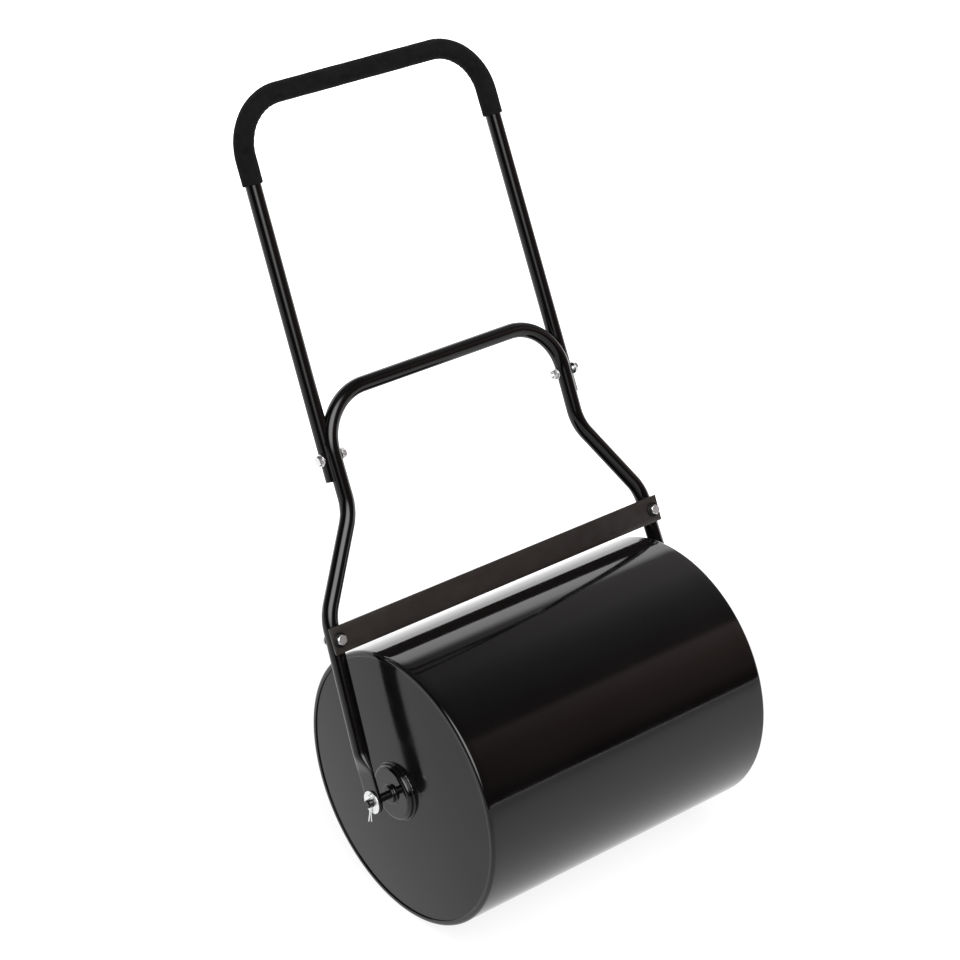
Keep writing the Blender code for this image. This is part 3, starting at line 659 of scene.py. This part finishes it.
def make_split_pin(node, side):
    """One wire bent into an eye above the axle, its two legs pushed through and spread."""
    wire = 0.0009
    leg = 0.00105
    eye = 0.0036
    eye_height = AXLE_RADIUS + wire + FIT_GAP + eye
    opening = math.asin(leg / eye)
    straight_end = -0.0085

    def spread_leg(sign, spread, tip):
        points = []
        for i in range(15):
            share = i / 14
            z = tip + (straight_end - tip) * share
            points.append((sign * (leg + spread * (1 - share) ** 1.8), z))
        return points

    route = spread_leg(1, 0.0030, -0.0320)
    eye_steps = 40
    for i in range(eye_steps + 1):
        angle = opening + (2 * math.pi - 2 * opening) * i / eye_steps
        route.append((eye * math.sin(angle), eye_height - eye * math.cos(angle)))
    route += spread_leg(-1, 0.0014, -0.0290)[::-1]
    curve = bpy.data.curves.new(node, 'CURVE')
    curve.dimensions = '3D'
    curve.bevel_depth = wire
    curve.bevel_resolution = 5
    curve.use_fill_caps = True
    spline = curve.splines.new('POLY')
    spline.points.add(len(route) - 1)
    for point, (y, z) in zip(spline.points, route):
        point.co = (0.0, y, z, 1.0)
    pin = bpy.data.objects.new(node, curve)
    pin.location = AXLE_PLACE + Vector((side * PIN_X, 0.0, 0.0))
    bpy.context.scene.collection.objects.link(pin)
    bpy.context.view_layer.update()
    mesh = bpy.data.meshes.new_from_object(pin.evaluated_get(bpy.context.evaluated_depsgraph_get()))
    solid = bpy.data.objects.new(node, mesh)
    solid.location = pin.location
    bpy.data.objects.remove(pin, do_unlink=True)
    bpy.context.scene.collection.objects.link(solid)
    bpy.context.view_layer.update()
    show(solid, node, math.radians(50.0))


# ------------------------------------------------------------------ the filler
def make_filler_neck():
    shoulder_x = dome(FILLER_HEIGHT - NECK_SHOULDER) + FIT_GAP
    inner_end = 0.2430
    pitch = 0.002
    profile = stepped((NECK_FACE - 0.0008, FILLER_BORE + FIT_GAP),
                      (inner_end + 0.0005, FILLER_BORE + FIT_GAP), 40)
    profile += [(inner_end, FILLER_BORE + 0.0008), (inner_end, NECK_RADIUS)]
    profile += [(shoulder_x, NECK_RADIUS), (shoulder_x, NECK_SHOULDER)]
    profile += arc(shoulder_x + 0.0012, NECK_SHOULDER - 0.001, 0.001, 90, 30, 4)
    profile += arc(shoulder_x + 0.0045, NECK_RADIUS + 0.002, 0.002, 215, 270, 5)
    profile += arc(NECK_FACE - 0.0008, NECK_RADIUS - 0.0008, 0.0008, 90, 0, 5)
    profile.append((NECK_FACE, FILLER_BORE + 0.0010))
    bm = turned(profile, BOLT_SEGMENTS)
    cut_thread(bm, inner_end, NECK_FACE, FILLER_BORE + FIT_GAP, pitch, -0.0005)
    show(object_from("filler_neck", bm, Matrix.Translation(PLUG_PLACE)), "filler_neck")


def make_filler_plug():
    """Screw plug: threaded stem, round flange and a crowned hexagon with a shallow dish."""
    head_x = NECK_FACE + SEAL_THICKNESS + 2 * FIT_GAP
    flange = 0.0195
    flat = 0.0139
    stem = FILLER_BORE - FIT_GAP
    flange_top = head_x + 0.0033
    profile = [(0.2460, 0.0), (0.2460, stem - 0.0012), (0.2472, stem)]
    profile += stepped((0.2474, stem), (head_x - 0.001, stem), 40)
    profile += [(head_x - 0.0006, stem - 0.0004), (head_x, stem), (head_x, flange - 0.0006)]
    profile += arc(head_x + 0.0008, flange - 0.0008, 0.0008, 180, 90, 4)[1:]
    profile += arc(flange_top - 0.0008, flange - 0.0008, 0.0008, 90, 0, 4)
    profile += [(flange_top, flat / 0.95), (flange_top + 0.0001, flat / math.cos(math.pi / 6))]
    profile += [(PLUG_TOP, flat / math.cos(math.pi / 6)), (PLUG_TOP, 0.95 * flat)]
    profile += [(PLUG_TOP, 0.0090), (PLUG_TOP - 0.0010, 0.0080), (PLUG_TOP - 0.0010, 0.0)]
    bm = turned(profile, BOLT_SEGMENTS)
    make_hexagonal(bm, flange_top + 0.00005, PLUG_TOP + MERGE, flat, flat, [(PLUG_TOP, -1)])
    cut_thread(bm, 0.2472, head_x - 0.0008, stem, 0.002, 0.0008)
    show(object_from("filler_plug", bm, Matrix.Translation(PLUG_PLACE)), "filler_plug")


def make_filler_seal():
    bore = FILLER_BORE + FIT_GAP
    profile = ring_profile(NECK_FACE + FIT_GAP, bore, 0.0185, SEAL_THICKNESS, 0.0005)
    bm = turned(profile, BOLT_SEGMENTS)
    show(object_from("filler_seal", bm, Matrix.Translation(PLUG_PLACE)), "filler_seal")


# ------------------------------------------------------------------ the frame
LEFT_LEG = [(-AXLE_HALF_SPAN, 0.0), (-AXLE_HALF_SPAN, EYE_BEND), (-LEG_HALF_SPAN, LOWER_BEND),
            (-TOP_HALF_SPAN, UPPER_BEND), (-TOP_HALF_SPAN, CROSSBAR)]
LEFT_BENDS = [EYE_BEND_RADIUS, LEG_BEND_RADIUS, LEG_BEND_RADIUS, CROSSBAR_RADIUS]
FRAME_PATH = BentPath(LEFT_LEG + [(-x, height) for x, height in LEFT_LEG[::-1]],
                      LEFT_BENDS + LEFT_BENDS[::-1])
HANDLE_PATH = BentPath(
    [(-HANDLE_FOOT_HALF_SPAN, HANDLE_FOOT), (-HANDLE_TOP_HALF_SPAN, HANDLE_TOP),
     (HANDLE_TOP_HALF_SPAN, HANDLE_TOP), (HANDLE_FOOT_HALF_SPAN, HANDLE_FOOT)],
    [HANDLE_BEND_RADIUS, HANDLE_BEND_RADIUS])
NEST_ANGLE = math.atan2(HANDLE_BACK, HANDLE_FOOT_HALF_SPAN - TOP_HALF_SPAN)


def leg_offset(height):
    """How far a frame leg's centreline is from the middle, between its eye and its lower bend."""
    share = (height - EYE_BEND) / (LOWER_BEND - EYE_BEND)
    return AXLE_HALF_SPAN + (LEG_HALF_SPAN - AXLE_HALF_SPAN) * share


def frame_section(distance):
    """Half thickness, half width and squareness of the frame's tube at a distance along it."""
    from_eye = min(distance, FRAME_PATH.length - distance)
    swell = smooth_step((from_eye - EYE_FLAT) / EYE_BLEND)
    thickness = EYE_HALF_THICKNESS + (FRAME_TUBE - EYE_HALF_THICKNESS) * swell
    width = EYE_RADIUS + (FRAME_TUBE - EYE_RADIUS) * swell
    if from_eye < 0.0:
        width = math.sqrt(max(EYE_RADIUS ** 2 - from_eye ** 2, 0.0))
    return thickness, width, 1.0 - swell


def make_lower_frame():
    length = FRAME_PATH.length
    round_end = [-EYE_RADIUS * 0.99 * math.cos(math.radians(a)) for a in range(0, 90, 6)]
    painted_shade_glow = round_end + [0.0] + spaced(0.0, EYE_FLAT, 4) + spaced(EYE_FLAT, EYE_FLAT + EYE_BLEND, 16)
    marks = FRAME_PATH.stations(painted_shade_glow + [length - mark for mark in painted_shade_glow])
    rings = [tube_ring(FRAME_PATH, mark, *frame_section(mark)) for mark in marks]
    tube = object_from("lower_frame", loft(rings, False), FRAME_PLANE)
    hollow = EYE_FLAT + EYE_BLEND + 0.005
    bore = FRAME_TUBE - FRAME_WALL
    marks = FRAME_PATH.stations([hollow, length - hollow])
    cutters = [loft([tube_ring(FRAME_PATH, mark, bore, bore) for mark in marks], False)]
    for _, side in SIDES:
        eye = (side * AXLE_HALF_SPAN, 0.0, 0.0)
        handle_bolt = (side * TOP_HALF_SPAN, BOLT_BACK, BOLT_HEIGHT)
        scraper_bolt = (side * leg_offset(SCRAPER_BOLT), 0.0, SCRAPER_BOLT)
        cutters.append(rod(eye, (1, 0, 0), BUSH_RADIUS + FIT_GAP, 0.02))
        cutters.append(rod(handle_bolt, (1, 0, 0), BOLT_RADIUS + FIT_GAP, 0.04))
        cutters.append(rod(scraper_bolt, (0, 1, 0), BOLT_RADIUS + FIT_GAP, 0.04))
    cut(tube, [(bm, FRAME_PLANE) for bm in cutters])
    show(tube, "lower_frame")


def make_axle_bush(node, side):
    inner = AXLE_RADIUS + FIT_GAP
    plate_back = AXLE_HALF_SPAN - EYE_HALF_THICKNESS - FIT_GAP
    plate_front = AXLE_HALF_SPAN + EYE_HALF_THICKNESS + FIT_GAP
    profile = [(plate_back - 0.002, inner + 0.0004), (plate_back - 0.002, 0.0110)]
    profile += arc(plate_back - 0.0015, 0.0110, 0.0005, 180, 90, 4)[1:]
    profile += [(plate_back, 0.0115), (plate_back, BUSH_RADIUS), (plate_front - 0.0004, BUSH_RADIUS)]
    profile += [(plate_front, BUSH_RADIUS - 0.0004), (plate_front, inner), (plate_back - 0.0016, inner)]
    bm = turned(mirrored(profile, side), BOLT_SEGMENTS)
    show(object_from(node, bm, FRAME_PLANE), node)


def handle_ring(distance, radius):
    """A ring round the handle, laid out evenly about the direction it nests in."""
    return tube_ring(HANDLE_PATH, distance, radius, radius, 0.0, HANDLE_BACK, NEST_ANGLE)


def pressed(ring, distance, clearance):
    """Push a handle ring's points off the frame's leg until they clear the tube beside them."""
    if min(distance, HANDLE_PATH.length - distance) > NEST_LENGTH + 0.01:
        return ring
    result = []
    for point in ring:
        spot = point.copy()
        outward = math.copysign(math.cos(NEST_ANGLE), spot.x)
        for _ in range(80):
            gap = math.hypot(FRAME_PATH.gap(Vector((spot.x, spot.z))), spot.y)
            if gap >= clearance - MERGE:
                break
            spot += Vector((outward, math.sin(NEST_ANGLE), 0.0)) * (clearance - gap)
        result.append(spot)
    return result


def make_upper_handle():
    length = HANDLE_PATH.length
    nest = spaced(0.0, NEST_LENGTH + 0.008, 32)
    marks = HANDLE_PATH.stations(nest + [length - mark for mark in nest])
    groove = FRAME_TUBE + 0.0005
    bore = HANDLE_TUBE - HANDLE_WALL
    outside = [pressed(handle_ring(mark, HANDLE_TUBE), mark, groove) for mark in marks]
    inside = [pressed(handle_ring(mark, bore), mark, groove + HANDLE_WALL) for mark in marks[::-1]]
    tube = object_from("upper_handle", loft(outside + inside, True), FRAME_PLANE)
    cutters = []
    for _, side in SIDES:
        centre = (side * HANDLE_FOOT_HALF_SPAN, BOLT_BACK, BOLT_HEIGHT)
        cutters.append((rod(centre, (1, 0, 0), BOLT_RADIUS + FIT_GAP, 0.03), FRAME_PLANE))
    cut(tube, cutters)
    show(tube, "upper_handle")


def grip_radius(distance, leg_end):
    """The foam's outer radius: rounded over at both ends, faintly uneven between them."""
    from_end = min(distance, HANDLE_PATH.length - distance) - leg_end
    rounding = 0.0022
    drop = rounding * (1 - math.sqrt(max(0.0, 1 - (1 - min(from_end / rounding, 1.0)) ** 2)))
    uneven = 0.00010 * math.sin(distance * 61.0) + 0.00006 * math.sin(distance * 173.0 + 1.0)
    return GRIP_RADIUS - drop + uneven


def make_foam_grip():
    """Foam sleeve, crumpled a little on the inside of both bends."""
    leg_end = HANDLE_TOP - GRIP_DROP - HANDLE_FOOT
    ends = [leg_end + 0.0022 * (1 - math.cos(math.radians(a))) for a in range(0, 91, 15)]
    marks = HANDLE_PATH.stations(ends + [HANDLE_PATH.length - mark for mark in ends], 0.004)
    outside = []
    for mark in marks:
        radius = grip_radius(mark, leg_end)
        ring = handle_ring(mark, radius)
        centre = sum(ring, Vector()) / len(ring)
        point, direction = HANDLE_PATH.at(mark)
        inward = Vector((direction.y, 0.0, -direction.x))
        fold = HANDLE_PATH.bend_at(mark) * HANDLE_BEND_RADIUS
        wave = 0.5 + 0.5 * math.sin(mark * 2 * math.pi / 0.0105)
        shaped = []
        for spot in ring:
            spoke = spot - centre
            inside = max(0.0, spoke.normalized().dot(inward)) ** 2
            dent = 0.00055 * abs(fold) * inside * wave
            shaped.append(centre + spoke * (1 - dent / radius))
        outside.append(shaped)
    bore = HANDLE_TUBE + FIT_GAP
    inside_rings = [handle_ring(mark, bore) for mark in marks[::-1]]
    grip = object_from("foam_grip", loft(outside + inside_rings, True), FRAME_PLANE)
    show(grip, "foam_grip", math.radians(50.0))


# ------------------------------------------------------------------ fasteners
def make_bolt(node, place, length):
    """Hexagon bolt with its head's underside at X = 0 and its threaded shank along +X."""
    corner = HEX_FLAT / math.cos(math.pi / 6)
    tip = 0.0008
    profile = [(-HEAD_THICKNESS, 0.0), (-HEAD_THICKNESS, HEX_FLAT * 0.5)]
    profile += [(-HEAD_THICKNESS, 0.95 * HEX_FLAT), (-HEAD_THICKNESS, corner), (-0.0004, corner)]
    profile += [(-0.0004, 0.95 * HEX_FLAT), (0.0, 0.94 * HEX_FLAT), (0.0, BOLT_RADIUS)]
    thread_start = length - 0.018
    steps = int((length - tip - thread_start) / 0.0002)
    profile += stepped((thread_start, BOLT_RADIUS), (length - tip, BOLT_RADIUS), steps)
    profile += [(length - tip, BOLT_RADIUS), (length, BOLT_RADIUS - tip), (length, 0.0)]
    bm = turned(profile, BOLT_SEGMENTS)
    make_hexagonal(bm, -HEAD_THICKNESS - MERGE, -0.0003, 0.951 * HEX_FLAT, HEX_FLAT,
                   [(-HEAD_THICKNESS, 1)])
    cut_thread(bm, thread_start, length - tip / 2, BOLT_RADIUS, 0.00125, 0.0006)
    show(object_from(node, bm, place), node)


def make_nut(node, place):
    """Nut with its seat at X = 0, standing along +X."""
    corner = HEX_FLAT / math.cos(math.pi / 6)
    bore = BOLT_RADIUS + FIT_GAP
    top = NUT_THICKNESS
    profile = [(0.0, bore + 0.0005), (0.0, 0.95 * HEX_FLAT), (0.0, corner), (top, corner)]
    profile += [(top, 0.95 * HEX_FLAT), (top, bore + 0.0005), (top - 0.0006, bore), (0.0006, bore)]
    bm = turned(profile, BOLT_SEGMENTS)
    make_hexagonal(bm, -MERGE, top + MERGE, 0.951 * HEX_FLAT, HEX_FLAT, [(0.0, 1), (top, -1)])
    show(object_from(node, bm, place), node)


def make_washer(node, place, radius):
    """Flat washer with its seat at X = 0, standing along +X."""
    profile = ring_profile(0.0, BOLT_RADIUS + FIT_GAP, radius, WASHER_THICKNESS, 0.0004)
    show(object_from(node, turned(profile, BOLT_SEGMENTS), place), node)


def facing(direction, point):
    """Place a piece's X axis along a direction of the frame's plane, at a point of it."""
    turn = Vector((1, 0, 0)).rotation_difference(direction).to_matrix().to_4x4()
    return FRAME_PLANE @ Matrix.Translation(point) @ turn


def make_bolted_joint(stem, centre, outward, head_reach, nut_reach, head_washer_radius):
    """Bolt through a centre: head, washers and nut at their reaches along the outward direction."""
    outward = Vector(outward)
    head_seat = Vector(centre) + outward * head_reach
    nut_seat = Vector(centre) - outward * nut_reach
    make_washer(stem + "_head_washer", facing(outward, head_seat), head_washer_radius)
    make_washer(stem + "_nut_washer", facing(-outward, nut_seat), WASHER_RADIUS)
    make_nut(stem + "_nut", facing(-outward, nut_seat - outward * WASHER_STACK))
    length = head_reach + nut_reach + 2 * WASHER_STACK + NUT_THICKNESS + 0.0015
    make_bolt(stem + "_bolt", facing(-outward, head_seat + outward * WASHER_STACK), length)


def make_fasteners():
    handle_reach = HANDLE_FOOT_HALF_SPAN + HANDLE_TUBE - TOP_HALF_SPAN + FIT_GAP
    scraper_reach = FRAME_TUBE + SCRAPER_GAP + SCRAPER_THICKNESS + FIT_GAP
    nut_reach = FRAME_TUBE + FIT_GAP
    for word, side in SIDES:
        centre = (side * TOP_HALF_SPAN, BOLT_BACK, BOLT_HEIGHT)
        make_bolted_joint(word + "_handle", centre, (side, 0, 0), handle_reach, nut_reach,
                          WASHER_RADIUS)
        centre = (side * leg_offset(SCRAPER_BOLT), 0.0, SCRAPER_BOLT)
        make_bolted_joint(word + "_scraper", centre, (0, -1, 0), scraper_reach, nut_reach,
                          SCRAPER_WASHER_RADIUS)


# ------------------------------------------------------------------ the scraper
def make_scraper_bar():
    """Flat bar with eased edges, a chamfered lower edge and a slot for the bolt at each end."""
    back = -(FRAME_TUBE + SCRAPER_GAP)
    front = back - SCRAPER_THICKNESS
    chamfer = 0.002
    section = [(front, SCRAPER_BOTTOM), (front, SCRAPER_TOP), (back, SCRAPER_TOP),
               (back, SCRAPER_BOTTOM + chamfer), (back - chamfer, SCRAPER_BOTTOM)]
    bm = bmesh.new()
    columns = spaced(-SCRAPER_HALF_LENGTH, SCRAPER_HALF_LENGTH, 1)
    loops = [[bm.verts.new((x, y, z)) for y, z in section] for x in columns]
    for i in range(len(section)):
        j = (i + 1) % len(section)
        bm.faces.new((loops[0][i], loops[0][j], loops[1][j], loops[1][i]))
    bm.faces.new(loops[0])
    bm.faces.new(loops[1])
    bmesh.ops.bevel(bm, geom=list(bm.edges), offset=0.0005, segments=3, profile=0.5, affect='EDGES')
    bar = object_from("scraper_bar", bm, FRAME_PLANE)
    cutters = []
    half_width = BOLT_RADIUS + FIT_GAP
    for _, side in SIDES:
        outline = []
        for height, first in ((SCRAPER_SLOT_DOWN, 0.0), (-SCRAPER_SLOT_UP, 180.0)):
            for i in range(19):
                angle = math.radians(first + 10 * i)
                x = side * leg_offset(SCRAPER_BOLT) + half_width * math.cos(angle)
                outline.append((x, SCRAPER_BOLT + height + half_width * math.sin(angle)))
        rings = [[Vector((x, y, z)) for x, z in outline] for y in (front - 0.01, back + 0.01)]
        cutters.append((loft(rings, False), FRAME_PLANE))
    cut(bar, cutters)
    show(bar, "scraper_bar")


# ------------------------------------------------------------------ the whole roller
def make_roller():
    make_drum_shell()
    make_axle()
    make_filler_neck()
    make_filler_plug()
    make_filler_seal()
    make_lower_frame()
    make_upper_handle()
    make_foam_grip()
    make_fasteners()
    make_scraper_bar()
    for word, side in SIDES:
        make_end_plate(word + "_end_plate", side)
        make_hub(word + "_hub", side)
        make_axle_washer(word + "_axle_washer", side)
        make_split_pin(word + "_split_pin", side)
        make_axle_bush(word + "_axle_bush", side)


# ------------------------------------------------------------------ floor, light and camera
def make_floor():
    """Plain pale floor, lit from below as a light table is; its glow is painted, dimmed in front of the
    roller as painted shade and brightened behind it as painted light.
    """
    bm = bmesh.new()
    bmesh.ops.create_grid(bm, x_segments=8, y_segments=8, size=FLOOR_HALF_SIZE)
    floor = object_from("floor", bm)
    look = Look("floor_pale", (0.18, 0.18, 0.18), 0.9)
    look.tint(look.noise(0.6), ((0.17, 0.17, 0.17), (0.19, 0.19, 0.19)))
    look.shader.inputs["Specular IOR Level"].default_value = 0.0
    look.shader.inputs["Emission Color"].default_value = (1.0, 1.0, 1.0, 1.0)
    parts = look.nodes.new("ShaderNodeSeparateXYZ")
    look.links.new(look.place, parts.inputs["Vector"])
    along_front = look.nodes.new("ShaderNodeMath")
    along_front.operation = 'MULTIPLY_ADD'
    along_front.inputs[1].default_value = FLOOR_ASPECT
    look.links.new(parts.outputs["X"], along_front.inputs[0])
    look.links.new(parts.outputs["Y"], along_front.inputs[2])
    total = look.nodes.new("ShaderNodeMath")
    total.operation = 'ADD'
    place = along_front.outputs["Value"]
    # Painted shade dims the glow in front of the roller, and painted light adds to it behind.
    painted_shade_glow = look.spread(place, FLOOR_GLOW_IN_PAINTED_SHADE, FLOOR_GLOW, *PAINTED_SHADE_FADES)
    painted_light_glow = look.spread(place, 0.0, FLOOR_PAINTED_LIGHT_BEHIND, *PAINTED_LIGHT_GAINS)
    look.links.new(painted_shade_glow, total.inputs[0])
    look.links.new(painted_light_glow, total.inputs[1])
    look.links.new(total.outputs["Value"], look.shader.inputs["Emission Strength"])
    floor.data.materials.append(look.material)


def add_overhead_light():
    """One large soft lamp above, kept out of the reflections."""
    lamp = bpy.data.lights.new("overhead", 'AREA')
    lamp.shape = 'RECTANGLE'
    lamp.size = lamp.size_y = OVERHEAD_SIZE
    lamp.energy = OVERHEAD_POWER
    made = bpy.data.objects.new("overhead", lamp)
    made.location = OVERHEAD_PLACE
    aim = Vector(OVERHEAD_AIM) - Vector(OVERHEAD_PLACE)
    made.rotation_euler = aim.to_track_quat('-Z', 'Y').to_euler()
    made.visible_camera = False
    made.visible_glossy = False
    bpy.context.scene.collection.objects.link(made)


def make_world():
    """A dim studio: a bright low backdrop behind, a softbox at the front left, faint panels."""
    world = bpy.data.worlds.new("studio")
    world.use_nodes = True
    nodes, links = world.node_tree.nodes, world.node_tree.links
    background = nodes["Background"]
    direction = nodes.new("ShaderNodeTexCoord").outputs["Generated"]
    parts = nodes.new("ShaderNodeSeparateXYZ")
    links.new(direction, parts.inputs["Vector"])

    def math_node(operation, first, second):
        node = nodes.new("ShaderNodeMath")
        node.operation = operation
        for socket, value in zip(node.inputs, (first, second)):
            if isinstance(value, float):
                socket.default_value = value
            else:
                links.new(value, socket)
        return node.outputs["Value"]

    def step_between(source, start, end, low, high):
        node = nodes.new("ShaderNodeMapRange")
        node.interpolation_type = 'SMOOTHSTEP'
        for name, value in (("From Min", start), ("From Max", end), ("To Min", low), ("To Max", high)):
            node.inputs[name].default_value = value
        links.new(source, node.inputs["Value"])
        return node.outputs["Result"]

    # How far over the room a direction is: 0 level behind, 90 overhead, 180 level in front.
    over = math_node('ARCTAN2', parts.outputs["Z"], parts.outputs["Y"])
    over = math_node('DIVIDE', over, math.pi)
    bands = nodes.new("ShaderNodeValToRGB")
    ramp = bands.color_ramp
    while len(ramp.elements) < len(ROOM_BANDS):
        ramp.elements.new(0.5)
    for element, (degrees, colour) in zip(ramp.elements, ROOM_BANDS):
        element.position = degrees / 180.0
        element.color = (*colour, 1.0)
    links.new(over, bands.inputs["Fac"])

    brighter_right = step_between(parts.outputs["X"], 0.48, 0.64, 0.55, 1.7)
    only_overhead = step_between(over, 0.20, 0.25, 0.0, 1.0)
    gain = math_node('SUBTRACT', brighter_right, 1.0)
    gain = math_node('MULTIPLY', gain, only_overhead)
    gain = math_node('ADD', gain, 1.0)
    backdrop = step_between(parts.outputs["X"], -0.55, -0.15, 0.15, 1.0)
    gain = math_node('MULTIPLY', gain, backdrop)

    aim = nodes.new("ShaderNodeVectorMath")
    aim.operation = 'DOT_PRODUCT'
    links.new(direction, aim.inputs[0])
    aim.inputs[1].default_value = SOFTBOX_AIM
    glow = step_between(aim.outputs["Value"], 0.82, 0.92, 0.0, SOFTBOX / 2)
    core = step_between(aim.outputs["Value"], 0.86, 0.97, 0.0, SOFTBOX)
    softbox = math_node('ADD', glow, core)

    scaled = nodes.new("ShaderNodeVectorMath")
    scaled.operation = 'SCALE'
    links.new(bands.outputs["Color"], scaled.inputs[0])
    links.new(gain, scaled.inputs["Scale"])
    total = nodes.new("ShaderNodeVectorMath")
    total.operation = 'ADD'
    links.new(scaled.outputs["Vector"], total.inputs[0])
    links.new(softbox, total.inputs[1])
    links.new(total.outputs["Vector"], background.inputs["Color"])
    background.inputs["Strength"].default_value = 1.0
    bpy.context.scene.world = world


def make_camera():
    lens = bpy.data.cameras.new("camera")
    lens.sensor_width = CAMERA_SENSOR
    lens.lens = CAMERA_LENS
    lens.clip_end = 100.0
    camera = bpy.data.objects.new("camera", lens)
    camera.location = CAMERA_PLACE
    camera.rotation_euler = [math.radians(degrees) for degrees in CAMERA_TURN]
    bpy.context.scene.collection.objects.link(camera)
    bpy.context.scene.camera = camera


make_roller()
make_floor()
add_overhead_light()
make_world()
make_camera()
bpy.context.scene.view_settings.view_transform = 'Standard'
